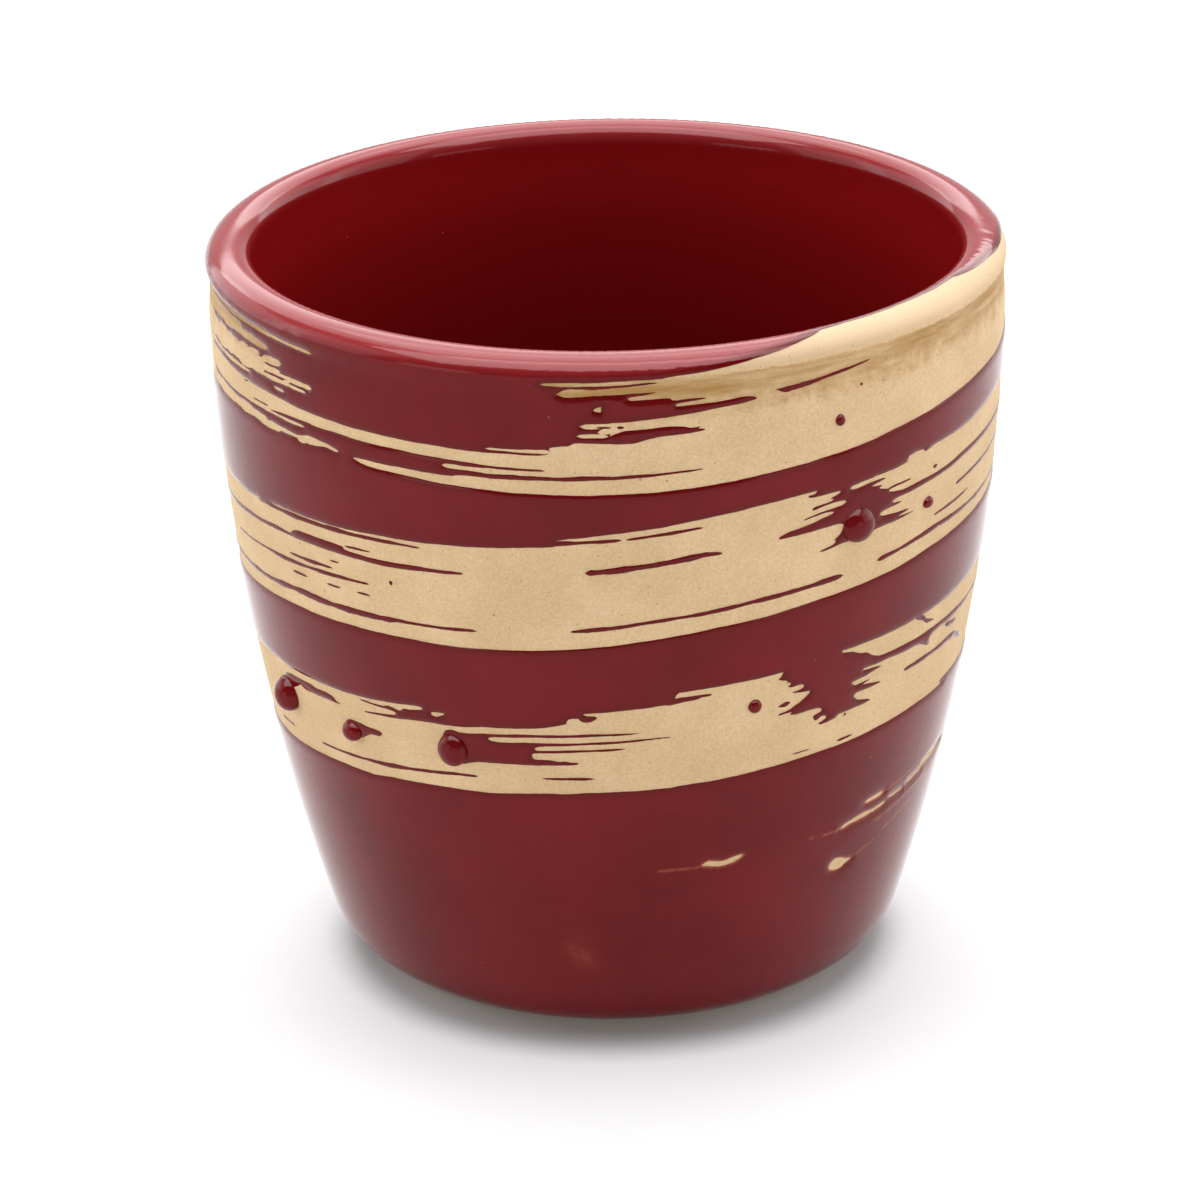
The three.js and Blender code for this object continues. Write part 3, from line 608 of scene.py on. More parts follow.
def turned(name, line, segments):
    """One closed piece turned round the cup's axis from a line of radii and heights in millimetres"""
    clear_selection()
    bpy.ops.mesh.primitive_plane_add(size=MM, location=(0, 0, 0))
    piece = bpy.context.object
    piece.name = piece.data.name = name
    bpy.ops.object.mode_set(mode="EDIT")
    bpy.ops.mesh.select_all(action="SELECT")
    bpy.ops.mesh.merge(type="CENTER")
    bpy.ops.transform.translate(value=(line[0][0] * MM, 0, line[0][1] * MM))
    for (r0, z0), (r1, z1) in zip(line, line[1:]):
        step = ((r1 - r0) * MM, 0, (z1 - z0) * MM)
        bpy.ops.mesh.extrude_vertices_move(TRANSFORM_OT_translate={"value": step})
    bpy.ops.mesh.select_all(action="SELECT")
    bpy.ops.mesh.spin(steps=segments, angle=TAU, center=(0, 0, 0), axis=(0, 0, 1))
    bpy.ops.mesh.select_all(action="SELECT")
    bpy.ops.mesh.remove_doubles(threshold=WELD)
    bpy.ops.mesh.normals_make_consistent(inside=False)
    bpy.ops.object.mode_set(mode="OBJECT")
    bpy.ops.object.shade_smooth_by_angle(angle=TURNED_SMOOTH)
    return piece


def dress(piece, material, slot, *nodes):
    """Give a finished piece its material and its body, and hide the solids that it stands for"""
    piece.data.materials.clear()
    piece.data.materials.append(material)
    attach(piece, "root")
    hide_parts(*nodes)


# The plan unrolls the brush map: angle times PLAN_RADIUS across, distance down from the crest the other
# way, both in millimetres
PLAN_RADIUS = 38.0
# Small distances in plan: a length too short to divide by, a side too short to use, points that count as
# one, and points that count as on a line
TINY, SHORT, SAME, CLOSE = 1e-9, 1e-6, 1e-5, 1e-4
# Steps along a drawn edge in millimetres and along the stroke in degrees, and the fewest steps of a stroke
# or an outline, a brush mark and a dot
STEP, STROKE_STEP = 0.27, 0.4
LEAST_STEPS, LEAST_MARK_STEPS, LEAST_DOT_STEPS = 8, 7, 10
# Points round a dot for each millimetre across, and how oval and how three-sided it is
DOT_STEPS, DOT_OVAL, DOT_LOBES = 16, 0.1, 0.06
# Unevenness of the drawn edges: rate and size of its waves, and how far a seed shifts them along
WAVES = ((0.45, 2.9), (0.8, 1.7), (1.7, 1.0), (3.4, 0.6), (6.1, 0.45))
WAVES_SUM = 6.65
FIRST_SHIFT, NEXT_SHIFT = 1.3, 0.7
# How uneven the stroke, an outline and the middle and width of a brush mark are, how much quicker an outline
# and a width change, and what a lower edge and a width add to the seed
STROKE_UNEVEN, OUTLINE_UNEVEN, MARK_UNEVEN, WIDTH_UNEVEN = 0.07, 0.045, 0.05, 0.28
OUTLINE_RATE, WIDTH_RATE = 2.2, 2.4
LOWER_SEED, WIDTH_SEED = 5, 3
# The narrowest stroke, the share of a side that eases a corner, the longest point of a brush mark, and how
# much wider a streak lies than it was drawn
NARROWEST = 0.05
CORNER_EASE = 0.2
MARK_POINT = 0.55
STREAK_SPREAD = 1.28


def across(angle):
    return np.radians(angle) * PLAN_RADIUS


def ripple(along, seed):
    """A small steady unevenness along an edge, never over 1"""
    shifts = [seed * (FIRST_SHIFT + NEXT_SHIFT * i) for i in range(len(WAVES))]
    return sum(size * np.sin(rate * along + shift) for (rate, size), shift in zip(WAVES, shifts)) / WAVES_SUM


def stroke_reaches(section, points, seed):
    """The stroke cut into one band for each turn, as across, upper edge and lower edge"""
    angle, upper, lower = np.array(points, float).T
    bands = []
    turn = math.floor((angle[0] + 180) / 360)
    while turn * 360 - 180 < angle[-1]:
        first = max(angle[0], turn * 360 - 180)
        last = min(angle[-1], turn * 360 + 180)
        at = np.linspace(first, last, max(LEAST_STEPS, int((last - first) / STROKE_STEP)) + 1)
        walk = across(at)
        top = section.down_at(np.interp(at, angle, upper)) + STROKE_UNEVEN * ripple(walk, seed)
        low = section.down_at(np.interp(at, angle, lower)) + STROKE_UNEVEN * ripple(walk, seed + LOWER_SEED)
        bands.append((across(at - turn * 360), top, np.maximum(low, top + NARROWEST)))
        turn += 1
    return bands


def run_along(points):
    """Distance along a line of points to each of them"""
    return np.concatenate([[0], np.cumsum(np.hypot(*np.diff(points, axis=0).T))])


def resample(ring, step):
    """A closed ring of points with its corners eased and its sides cut to even steps"""
    eased = np.empty((2 * len(ring), 2))
    follow = np.roll(ring, -1, axis=0)
    eased[0::2] = (1 - CORNER_EASE) * ring + CORNER_EASE * follow
    eased[1::2] = CORNER_EASE * ring + (1 - CORNER_EASE) * follow
    closed = np.vstack([eased, eased[:1]])
    run = run_along(closed)
    count = max(LEAST_STEPS, int(run[-1] / step))
    at = np.linspace(0, run[-1], count, endpoint=False)
    return np.column_stack([np.interp(at, run, closed[:, i]) for i in (0, 1)]), at


def outline_ring(section, points, seed):
    """A drawn outline in plan, with a little unevenness to both sides"""
    angle, mark = np.array(points, float).T
    ring, at = resample(np.column_stack([across(angle), section.down_at(mark)]), STEP)
    side = np.roll(ring, -1, axis=0) - np.roll(ring, 1, axis=0)
    side /= np.maximum(np.hypot(*side.T), TINY)[:, None]
    shift = OUTLINE_UNEVEN * ripple(OUTLINE_RATE * at, seed)
    return ring + np.column_stack([-side[:, 1] * shift, side[:, 0] * shift])


def brush_ring(section, path, seed, spread=1.0):
    """The outline of one brush mark, drawn in to a blunt point at both ends"""
    angle, mark, width = np.array(path, float).T
    x, y = across(angle), section.down_at(mark)
    run = run_along(np.column_stack([x, y]))
    at = np.linspace(0, run[-1], max(LEAST_MARK_STEPS, int(run[-1] / STEP)) + 1)
    ends = min(MARK_POINT, run[-1] / 3)
    taper = np.sqrt(np.clip(np.minimum(at, run[-1] - at) / ends, 0, 1))
    middle = np.interp(at, run, y) + MARK_UNEVEN * ripple(at, seed)
    uneven = 1 + WIDTH_UNEVEN * ripple(WIDTH_RATE * at, seed + WIDTH_SEED)
    half = np.interp(at, run, width) * spread / 2 * taper * uneven
    walk = np.interp(at, run, x)
    upper = np.column_stack([walk, middle - half])
    lower = np.column_stack([walk, middle + half])[1:-1]
    return np.vstack([upper, lower[::-1]])


def dot_ring(section, dot, seed):
    """A small dot, a little out of round"""
    angle, mark, wide = dot
    turn = np.linspace(0, TAU, max(LEAST_DOT_STEPS, int(wide * DOT_STEPS)), endpoint=False)
    oval, lobes = np.sin(2 * turn + seed), np.sin(3 * turn + 2 * seed)
    radius = wide / 2 * (1 + DOT_OVAL * oval + DOT_LOBES * lobes)
    centre = np.array([across(angle), section.down_at(mark)])
    return centre + np.column_stack([radius * np.cos(turn), radius * np.sin(turn)])


class BrushMap:
    """What is bare and what is glazed, in plan"""

    def __init__(self, section):
        def drawn(ring_of, shapes, first_seed, *more):
            return [ring_of(section, shape, first_seed + i, *more) for i, shape in enumerate(shapes)]

        self.section = section
        self.edge = across(180.0)
        self.bands = stroke_reaches(section, STROKE, 1.0) + stroke_reaches(section, STROKE_END, 2.0)
        self.touches = drawn(outline_ring, TOUCH_OUTLINES, 23) + drawn(brush_ring, TOUCH_MARKS, 29)
        self.bare = drawn(outline_ring, BARE_OUTLINES, 3) + drawn(brush_ring, BARE_MARKS, 11) + self.touches
        self.faint = drawn(brush_ring, FAINT_TOUCHES, 37)
        self.kept = drawn(outline_ring, SKIPS, 47) + drawn(brush_ring, STREAKS, 71, STREAK_SPREAD)
        self.kept += drawn(dot_ring, DOTS, 5)
        self.spots = drawn(outline_ring, BARE_SPOTS, 3)

    def rings(self):
        """Every edge of the map as a closed ring"""
        bands = []
        for x, top, low in self.bands:
            bands.append(np.vstack([np.column_stack([x, top]), np.column_stack([x, low])[::-1]]))
        return bands + self.bare + self.kept + self.spots

    @staticmethod
    def within(ring, points):
        """Which points lie inside a ring"""
        found = np.zeros(len(points), bool)
        low, high = ring.min(0), ring.max(0)
        near = np.flatnonzero(np.all((points >= low) & (points <= high), axis=1))
        if not len(near):
            return found
        px, py = points[near].T
        odd = np.zeros(len(near), bool)
        for (x0, y0), (x1, y1) in zip(ring, np.roll(ring, -1, axis=0)):
            if y0 != y1:
                odd ^= ((y0 > py) != (y1 > py)) & (px < (x1 - x0) * (py - y0) / (y1 - y0) + x0)
        found[near] = odd
        return found

    def glazed(self, points):
        """Which points of the plan carry glaze"""
        bare = np.zeros(len(points), bool)
        for x, top, low in self.bands:
            along = (points[:, 0] >= x[0]) & (points[:, 0] <= x[-1])
            above, below = np.interp(points[:, 0], x, top), np.interp(points[:, 0], x, low)
            bare |= along & (points[:, 1] > above) & (points[:, 1] < below)
        for ring in self.bare:
            bare |= self.within(ring, points)
        for ring in self.kept:
            bare &= ~self.within(ring, points)
        for ring in self.spots:
            bare |= self.within(ring, points)
        return ~bare


# A point nearer than this to the edge of the glaze lies on it, and a ridge point lies further off
ASHORE, RIDGE = 2e-3, 4e-3
# Steps along the frame of the plan, along the edges where distance is measured, and along the edges for the
# rows of points that follow them. Each row has its distance from the edge and that between its points
FRAME_STEP, MEASURE_STEP, ROW_STEP = 0.9, 0.05, 0.13
EDGE_ROWS = ((0.055, 0.2), (0.14, 0.24), (0.28, 0.32), (0.46, 0.42), (0.75, 0.62))
# A row keeps this share of its distance from every edge, and stays this far below the upper end
ROW_CLEAR, ROW_START = 0.9, 0.3
# How far past the seam at the back distance is still measured
SEAM_REACH = 4
# Fields of points on the face and the underside: spacing, distance from the edge, rows over the lip
FACE_FIELD = (1.15, 0.95, 0.42)
UNDER_FIELD = (2.6, 1.2, 0.8)
# How far the close rows of the lip go on past its round, and the rows of a field of even triangles
LIP_ROWS_PAST, ROW_SHARE = 2.5, 0.87
# Points beside a dry touch: between them, how far off they go and are kept, their distance from the edge of
# the glaze, and how far they keep apart
TOUCH_STEP, TOUCH_MARGIN, TOUCH_KEEP, TOUCH_CLEAR, TOUCH_APART = 0.1, 0.4, 0.36, 0.07, 0.08
# The shoulder of the glaze: how much longer where rubbed, and where and how wide its edge gathers
RUBBED_LONGER, ROLL_AT, ROLL_WIDE = 1.2, 1.3, 0.45
# How far the glaze is rubbed thin round a touch and round a faint one, how far round a touch its shoulder
# runs longer, and how strongly the faint ones rub and the smudges take the thin colour
WORN_REACH, FAINT_REACH, RUBBED_REACH = 0.2, 0.13, 1.1
FAINT_WORN, SMUDGE_STRENGTH = 0.55, 0.3
# How far the gathered look of an edge reaches, and where and how long the painted light of the inside starts
EDGE_LOOK, INSIDE_START, INSIDE_RUN = 0.45, -1.0, 2.4
# Vertices in one cell of this size in metres are one, and flecks under this volume in cubic metres go
CELL, FLECK = 1e-7, 1e-12


def bell(share):
    """1 at nothing, falling off on both sides"""
    return np.exp(-(share**2))


def triangulate(points, edges):
    made = delaunay_2d_cdt([Vector(p) for p in points.tolist()], edges, [], 0, SAME, False)
    return np.array([tuple(v) for v in made[0]]), np.array([tuple(f) for f in made[2]], int)


def closed_edges(ring):
    return [(i, (i + 1) % len(ring)) for i in range(len(ring))]


def ring_sides(rings):
    """Both ends of every side of some rings"""
    return [pair for ring in rings for pair in zip(ring, np.roll(ring, -1, axis=0))]


def frame_points(brush):
    """Even steps across and down the plan, with the ends of the stroke among those down its open sides"""
    section, edge = brush.section, brush.edge
    deep = section.stop - section.start
    x = np.linspace(-edge, edge, int(2 * edge / FRAME_STEP) + 1)
    cuts = [np.linspace(section.start, section.stop, int(deep / FRAME_STEP) + 1)]
    for band_x, top, low in brush.bands:
        for end in (0, -1):
            if abs(abs(band_x[end]) - edge) < SHORT:
                cuts.append(np.array([top[end], low[end]]))
    y = np.unique(np.round(np.concatenate(cuts), 5))
    return x, y


def plan_frame(x, y):
    """Points and edges round the plan"""
    top = [(v, y[0]) for v in x]
    right = [(x[-1], v) for v in y[1:]]
    low = [(v, y[-1]) for v in x[::-1][1:]]
    left = [(x[0], v) for v in y[::-1][1:-1]]
    ring = np.array(top + right + low + left)
    return ring, closed_edges(ring)


def joined(parts):
    """Several rings of points and their edges as one list of each"""
    points, edges, first = [], [], 0
    for ring, ring_edges in parts:
        points.append(ring)
        edges += [(a + first, b + first) for a, b in ring_edges]
        first += len(ring)
    return np.vstack(points), edges


def glaze_edges(brush, points, faces, glazed):
    """Edges of the plan with glaze on one side only, and the point on their glazed side"""
    sides = {}
    for face, wet in zip(faces.tolist(), glazed.tolist()):
        for a, b, c in ((0, 1, 2), (1, 2, 0), (2, 0, 1)):
            sides.setdefault((min(face[a], face[b]), max(face[a], face[b])), []).append((wet, face[c]))
    shore = []
    for (a, b), found in sides.items():
        wet = [c for is_wet, c in found if is_wet]
        at_stop = min(points[a, 1], points[b, 1]) > brush.section.stop - CLOSE
        if len(wet) == 1 and (len(found) == 2 or at_stop):
            shore.append((a, b, wet[0]))
    return shore


class EdgeDistance:
    """Distance from any point of the plan to the nearest of many lines"""

    def __init__(self, brush, lines):
        spots = []
        for start, end in lines:
            count = max(1, int(np.hypot(*(end - start)) / MEASURE_STEP))
            spots.append(start + (end - start) * (np.arange(count + 1) / count)[:, None])
        spots = np.vstack(spots)
        for side in (-1, 1):
            close = spots[spots[:, 0] * side > brush.edge - SEAM_REACH]
            spots = np.vstack([spots, close - (2 * brush.edge * side, 0)])
        self.tree = kdtree.KDTree(len(spots))
        for i, (x, y) in enumerate(spots.tolist()):
            self.tree.insert((x, y, 0), i)
        self.tree.balance()

    def __call__(self, points):
        return np.array([self.tree.find((x, y, 0))[2] for x, y in points.tolist()])


def thinned(points, apart, taken):
    """Points that keep a distance from each other and from those taken before"""
    kept = []
    for x, y in points.tolist():
        cell = (int(x // apart), int(y // apart))
        near = (taken.get((cell[0] + i, cell[1] + j, apart)) for i in (-1, 0, 1) for j in (-1, 0, 1))
        if all(q is None or (q[0] - x) ** 2 + (q[1] - y) ** 2 >= apart * apart for q in near):
            taken[(cell[0], cell[1], apart)] = (x, y)
            kept.append((x, y))
    return np.array(kept).reshape(-1, 2)


def field_points(brush, distance, spacing, clear, lip_rows):
    """An even field of points over the glaze, closer together over the round of the lip"""
    section = brush.section
    rows, y = [], section.start + spacing / 2
    while y < section.stop - spacing / 3:
        rows.append(y)
        y += lip_rows if abs(y) < section.quarter + LIP_ROWS_PAST else spacing * ROW_SHARE
    grid = []
    for i, y in enumerate(rows):
        x = np.arange(-brush.edge + spacing * (0.5 + 0.5 * (i % 2)), brush.edge - 0.4 * spacing, spacing)
        grid.append(np.column_stack([x, np.full(len(x), y)]))
    grid = np.vstack(grid)
    grid = grid[brush.glazed(grid)]
    return grid[distance(grid) > clear]


def shore_points(brush, points, shore, distance):
    """Rows of points that follow the edges of the glaze, closest at the edge"""
    starts, inward = [], []
    for a, b, wet in shore:
        side = points[b] - points[a]
        run = np.hypot(*side)
        if run < SHORT:
            continue
        normal = np.array([-side[1], side[0]]) / run
        normal *= np.sign(normal @ (points[wet] - points[a])) or 1.0
        count = max(1, int(run / ROW_STEP))
        for i in range(count):
            starts.append(points[a] + side * ((i + 0.5) / count))
            inward.append(normal)
    starts, inward = np.array(starts), np.array(inward)
    rows, taken = [], {}
    for deep, apart in EDGE_ROWS:
        row = starts + inward * deep
        row = row[np.abs(row[:, 0]) < brush.edge - 0.5 * apart]
        row = row[(row[:, 1] > brush.section.start + ROW_START) & (row[:, 1] < brush.section.stop)]
        row = row[distance(row) > ROW_CLEAR * deep]
        row = row[brush.glazed(row)]
        rows.append(thinned(row, apart, taken))
    return np.vstack(rows)


def touch_points(brush, distance):
    """Points close along the edges of the dry touches"""
    fields = []
    for ring in brush.faint + brush.touches:
        low, high = ring.min(0) - TOUCH_MARGIN, ring.max(0) + TOUCH_MARGIN
        steps = [np.arange(a, b, TOUCH_STEP) for a, b in zip(low, high)]
        grid = np.stack(np.meshgrid(*steps), -1).reshape(-1, 2)
        gap = np.min(np.hypot(*(grid[:, None] - ring[None]).transpose(2, 0, 1)), axis=1)
        fields.append(grid[gap < TOUCH_KEEP])
    points = np.vstack(fields)
    return thinned(points[(distance(points) > TOUCH_CLEAR) & brush.glazed(points)], TOUCH_APART, {})


class GlazePlan:
    """The plan cut along the edges of the glaze"""

    def __init__(self, brush):
        self.brush = brush
        self.x, self.y = frame_points(brush)
        rings = [(ring, closed_edges(ring)) for ring in brush.rings()]
        points, faces = triangulate(*joined([plan_frame(self.x, self.y)] + rings))
        self.points = points
        self.shore = glaze_edges(brush, points, faces, brush.glazed(points[faces].mean(1)))
        self.distance = EdgeDistance(brush, [(points[a], points[b]) for a, b, _ in self.shore])
        used = sorted({i for a, b, _ in self.shore for i in (a, b)})
        order = {v: i for i, v in enumerate(used)}
        self.shore_part = (points[used], [(order[a], order[b]) for a, b, _ in self.shore])

    def surface(self, more):
        """Points and faces over the glaze, with more points in it"""
        points, edges = joined([plan_frame(self.x, self.y), self.shore_part])
        points, tris = triangulate(np.vstack([points, more]), edges)
        tris = tris[self.brush.glazed(points[tris].mean(1))]
        a, b, c = points[tris].transpose(1, 0, 2)
        flat = np.abs(np.cross(b - a, c - a)) <= TINY
        # flat faces are left out along the frame alone, where nothing lies on their far side
        middle = points[tris].mean(1)
        outer = np.abs(np.abs(middle[:, 0]) - self.brush.edge) < CLOSE
        outer |= np.abs(middle[:, 1, None] - (self.y[0], self.y[-1])).min(1) < CLOSE
        return points, tris[~(flat & outer)]

    def face(self):
        """The upper surface, with points close along edges, touches and lip"""
        near = shore_points(self.brush, self.points, self.shore, self.distance)
        touches = touch_points(self.brush, self.distance)
        fine = np.vstack([near, touches, field_points(self.brush, self.distance, *FACE_FIELD)])
        points, tris = self.surface(fine)
        # a ridge of points along every place too narrow to have had one
        sides = np.vstack([tris[:, pair] for pair in ((0, 1), (1, 2), (2, 0))])
        sides, met = np.unique(np.sort(sides, axis=1), axis=0, return_counts=True)
        ashore = self.distance(points) < ASHORE
        narrow = points[sides[(met == 2) & ashore[sides].all(1)]].mean(1)
        return self.surface(np.vstack([fine, narrow[self.distance(narrow) > RIDGE]]))

    def underside(self):
        return self.surface(field_points(self.brush, self.distance, *UNDER_FIELD))


def glaze_height(size, distance, rubbed):
    """How high the glaze stands at a distance from its edge: a round shoulder, longer where it is rubbed"""
    share = np.clip(distance / (size.edge_round * (1 + RUBBED_LONGER * rubbed)), 0, 1)
    shoulder = size.glaze * np.sin(share * math.pi / 2)
    roll = size.edge_roll * bell((distance - ROLL_AT * size.edge_round) / ROLL_WIDE) * share
    return shoulder + roll


def glaze_looks(brush, points, far, touched):
    """How gathered, how worn and how far inside the glaze is at each point"""
    brushed = EdgeDistance(brush, ring_sides(brush.faint))(points)
    worn = np.maximum(bell(touched / WORN_REACH), FAINT_WORN * bell(brushed / FAINT_REACH))
    for angle, mark, wide in SMUDGES:
        smudge = np.hypot(points[:, 0] - across(angle), points[:, 1] - brush.section.down_at(mark))
        worn = np.maximum(worn, SMUDGE_STRENGTH * bell(smudge / wide))
    inside = np.clip((INSIDE_START - points[:, 1]) / INSIDE_RUN, 0, 1)
    return np.column_stack([np.exp(-far / EDGE_LOOK) * (1 - worn), worn, inside])


def wrapped(section, points, off):
    """Points of the plan laid on the cup, in metres"""
    radius, height = section.place(points[:, 1], off)
    turn = points[:, 0] / PLAN_RADIUS
    return np.column_stack([radius * np.sin(turn), -radius * np.cos(turn), height]) * MM


def rim_faces(section, face_plan, under_plan):
    """Faces that close both surfaces along their upper ends inside the lip"""
    rows = []
    for points in (face_plan, under_plan):
        level = np.flatnonzero(np.abs(points[:, 1] - section.start) < CLOSE)
        rows.append(level[np.argsort(points[level, 0])])
    upper, lower = rows[0], rows[1] + len(face_plan)
    rim = []
    for a, b, c, d in zip(upper, upper[1:], lower, lower[1:]):
        rim += [(a, b, d), (a, d, c)]
    return np.array(rim)


def island_numbers(faces):
    """A number for each face that all faces joined to it side by side share"""
    group = list(range(len(faces)))

    def top(i):
        while group[i] != i:
            group[i] = group[group[i]]
            i = group[i]
        return i

    first = {}
    for i, face in enumerate(faces.tolist()):
        for a, b in zip(face, face[1:] + face[:1]):
            group[top(i)] = top(first.setdefault((min(a, b), max(a, b)), i))
    return np.array([top(i) for i in range(len(faces))])


def three_sided_holes(tris):
    """Faces that close the three-sided holes of a surface"""
    sides = {(a, b) for face in tris.tolist() for a, b in zip(face, face[1:] + face[:1])}
    onward = {b: a for a, b in sides if (b, a) not in sides}
    holes = [(a, b, onward.get(b)) for a, b in onward.items()]
    return [hole for hole in holes if onward.get(hole[2]) == hole[0] and hole[0] == min(hole)]


def welded(spots, tris, looks):
    """A closed surface from vertices that lie together: places, faces and looks"""
    keys = {}
    cells = np.round(spots / CELL).astype(int).tolist()
    merged = np.array([keys.setdefault(tuple(cell), len(keys)) for cell in cells])
    tris = merged[tris]
    tris = tris[(tris[:, 0] != tris[:, 1]) & (tris[:, 1] != tris[:, 2]) & (tris[:, 2] != tris[:, 0])]
    # slivers where both surfaces are one and the same face are left out
    _, group, shared = np.unique(np.sort(tris, axis=1), axis=0, return_inverse=True, return_counts=True)
    tris = tris[shared[group.reshape(-1)] == 1]
    tris = np.vstack([tris, np.array(three_sided_holes(tris), int).reshape(-1, 3)])
    places, values = np.empty((len(keys), 3)), np.zeros((len(keys), 3))
    places[merged] = spots
    np.maximum.at(values, merged, looks)
    return places, tris, values


def glaze_coat():
    """The outer glaze and its islands: vertices, faces, looks of each vertex, island number of each face"""
    section = Section(sizes_mm())
    size = section.size
    brush = BrushMap(section)
    plan = GlazePlan(brush)
    face_plan, face_tris = plan.face()
    under_plan, under_tris = plan.underside()
    far = plan.distance(face_plan)
    far[far < ASHORE] = 0
    touched = EdgeDistance(brush, ring_sides(brush.touches))(face_plan)
    top = wrapped(section, face_plan, size.seat + glaze_height(size, far, bell(touched / RUBBED_REACH)))
    low = wrapped(section, under_plan, np.full(len(under_plan), size.seat))
    looks = np.vstack([glaze_looks(brush, face_plan, far, touched), np.zeros((len(low), 3))])
    # the two surfaces share the line where the glaze runs out
    rim = rim_faces(section, face_plan, under_plan)
    tris = np.vstack([face_tris[:, ::-1], under_tris + len(top), rim])
    places, tris, values = welded(np.vstack([top, low]), tris, looks)
    islands = island_numbers(tris)
    # flecks too small to hold a shape are left out
    a, b, c = places[tris].transpose(1, 0, 2)
    volume = np.bincount(islands, weights=(a * np.cross(b, c)).sum(1) / 6)
    held = volume[islands] > FLECK
    return places, tris[held], values, islands[held]


def glaze_piece(name, places, tris, values):
    """A mesh object from part of the glaze, with its looks as attributes"""
    used, order = np.unique(tris, return_inverse=True)
    mesh = bpy.data.meshes.new(name)
    mesh.from_pydata(places[used].tolist(), [], order.reshape(-1, 3).tolist())
    for look, column in zip(("edge", "worn", "inside"), values[used].T):
        layer = mesh.attributes.new(look, "FLOAT", "POINT")
        layer.data.foreach_set("value", np.ascontiguousarray(column, np.float32))
    piece = bpy.data.objects.new(name, mesh)
    bpy.context.scene.collection.objects.link(piece)
    clear_selection()
    piece.select_set(True)
    bpy.context.view_layer.objects.active = piece
    bpy.ops.object.shade_smooth_by_angle(angle=GLAZE_SMOOTH)
    return piece


TURNS = ("low", "middle", "top")


def turn_names(places, tris, islands, coat):
    """The low, middle or top turn for each island of glaze, by its height along the spiral"""
    angle, upper, lower = np.array(STROKE + STROKE_END, float).T
    middle = (upper + lower) / 2
    named = {}
    for island in np.unique(islands):
        if island == coat:
            continue
        x, y, z = places[np.unique(tris[islands == island])].mean(0)
        turn = math.degrees(math.atan2(x, -y))
        mark = z / MM - sizes_mm().marks_lift
        off = [abs(np.interp(turn + 360 * k, angle, middle) - mark) for k in range(len(TURNS))]
        named[island] = TURNS[int(np.argmin(off))]
    return named


# The share of a spot's size that is its full colour
SPOT_CORE = 0.55


class NodeKit:
    """Short ways to add nodes to one material or world"""

    def __init__(self, tree):
        self.tree = tree

    def feed(self, node, inputs):
        """Link a node's inputs to other sockets, or set their own values"""
        for name, value in inputs.items():
            if isinstance(value, bpy.types.NodeSocket):
                self.tree.links.new(value, node.inputs[name])
            else:
                node.inputs[name].default_value = value

    def add(self, kind, inputs, **settings):
        node = self.tree.nodes.new("ShaderNode" + kind)
        for name, value in settings.items():
            setattr(node, name, value)
        self.feed(node, inputs)
        return node

    def shade(self, base, roughness, specular, **more):
        """Feed the material's own shader"""
        inputs = {"Base Color": base, "Roughness": roughness, "Specular IOR Level": specular}
        self.feed(self.tree.nodes["Principled BSDF"], {**inputs, **more})

    def spot(self):
        return self.add("TexCoord", {}).outputs["Object"]

    def height(self, spot):
        return self.add("SeparateXYZ", {"Vector": spot}).outputs["Z"]

    def stretched(self, spot, scale=(1, 1, 1), location=(0, 0, 0)):
        node = self.add("Mapping", {"Vector": spot, "Scale": scale, "Location": location})
        return node.outputs["Vector"]

    def attribute(self, name):
        return self.add("Attribute", {}, attribute_name=name).outputs["Fac"]

    def noise(self, spot, scale, detail, roughness=0.5):
        inputs = {"Vector": spot, "Scale": scale, "Detail": detail, "Roughness": roughness}
        return self.add("TexNoise", inputs).outputs["Fac"]

    def ramp(self, value, low, high):
        inputs = {"Value": value, "From Min": low, "From Max": high}
        return self.add("MapRange", inputs, interpolation_type="SMOOTHSTEP").outputs["Result"]

    def maths(self, operation, first, second):
        return self.add("Math", {0: first, 1: second}, operation=operation).outputs["Value"]

    def times(self, first, second):
        return self.maths("MULTIPLY", first, second)

    def plus(self, first, second):
        return self.maths("ADD", first, second)

    def mixed(self, factor, first, second):
        """One colour shading into another"""
        inputs = {"Factor": factor}
        for name, value in (("A", first), ("B", second)):
            inputs[name] = value if isinstance(value, bpy.types.NodeSocket) else (*value, 1)
        return self.add("Mix", inputs, data_type="RGBA").outputs["Result"]

    def sparse_spots(self, spot, scale, size, share):
        """Small round spots scattered at random through the piece"""
        cells = self.add("TexVoronoi", {"Vector": spot, "Scale": scale})
        inside = self.ramp(cells.outputs["Distance"], size, size * SPOT_CORE)
        pick = self.add("SeparateColor", {"Color": cells.outputs["Color"]}).outputs["Red"]
        return self.times(inside, self.maths("LESS_THAN", pick, share))

    def bump(self, relief, strength, distance):
        inputs = {"Strength": strength, "Distance": distance, "Height": relief}
        return self.add("Bump", inputs).outputs["Normal"]


# Heights in metres on the clay: the toasted band, browned and painted darker as shade under the lip, rises
# between the first two and ends between the next; painted shade over the round of the lip starts between the
# last
TOAST_SHADE_RISE, TOAST_SHADE_END, LIP_SHADE_RISE = (0.0692, 0.0727), (0.0742, 0.07395), (0.0741, 0.0747)
# How far the toasted band with its painted shade wanders up and down, and how much of that its upper end
# keeps
TOAST_SHADE_WANDER, TOAST_SHADE_END_WANDER = 0.0055, 0.12
# Heights between which the glaze thins over the lip and takes a painted highlight
LIP_GLAZE_HIGHLIGHT_RISE = (0.0738, 0.0757)
# How flat the throwing lines of the clay lie
LINES_SCALE = (0.12, 0.12, 1.0)


def new_material(name):
    material = bpy.data.materials.new(name)
    material.use_nodes = True
    return material, NodeKit(material.node_tree)


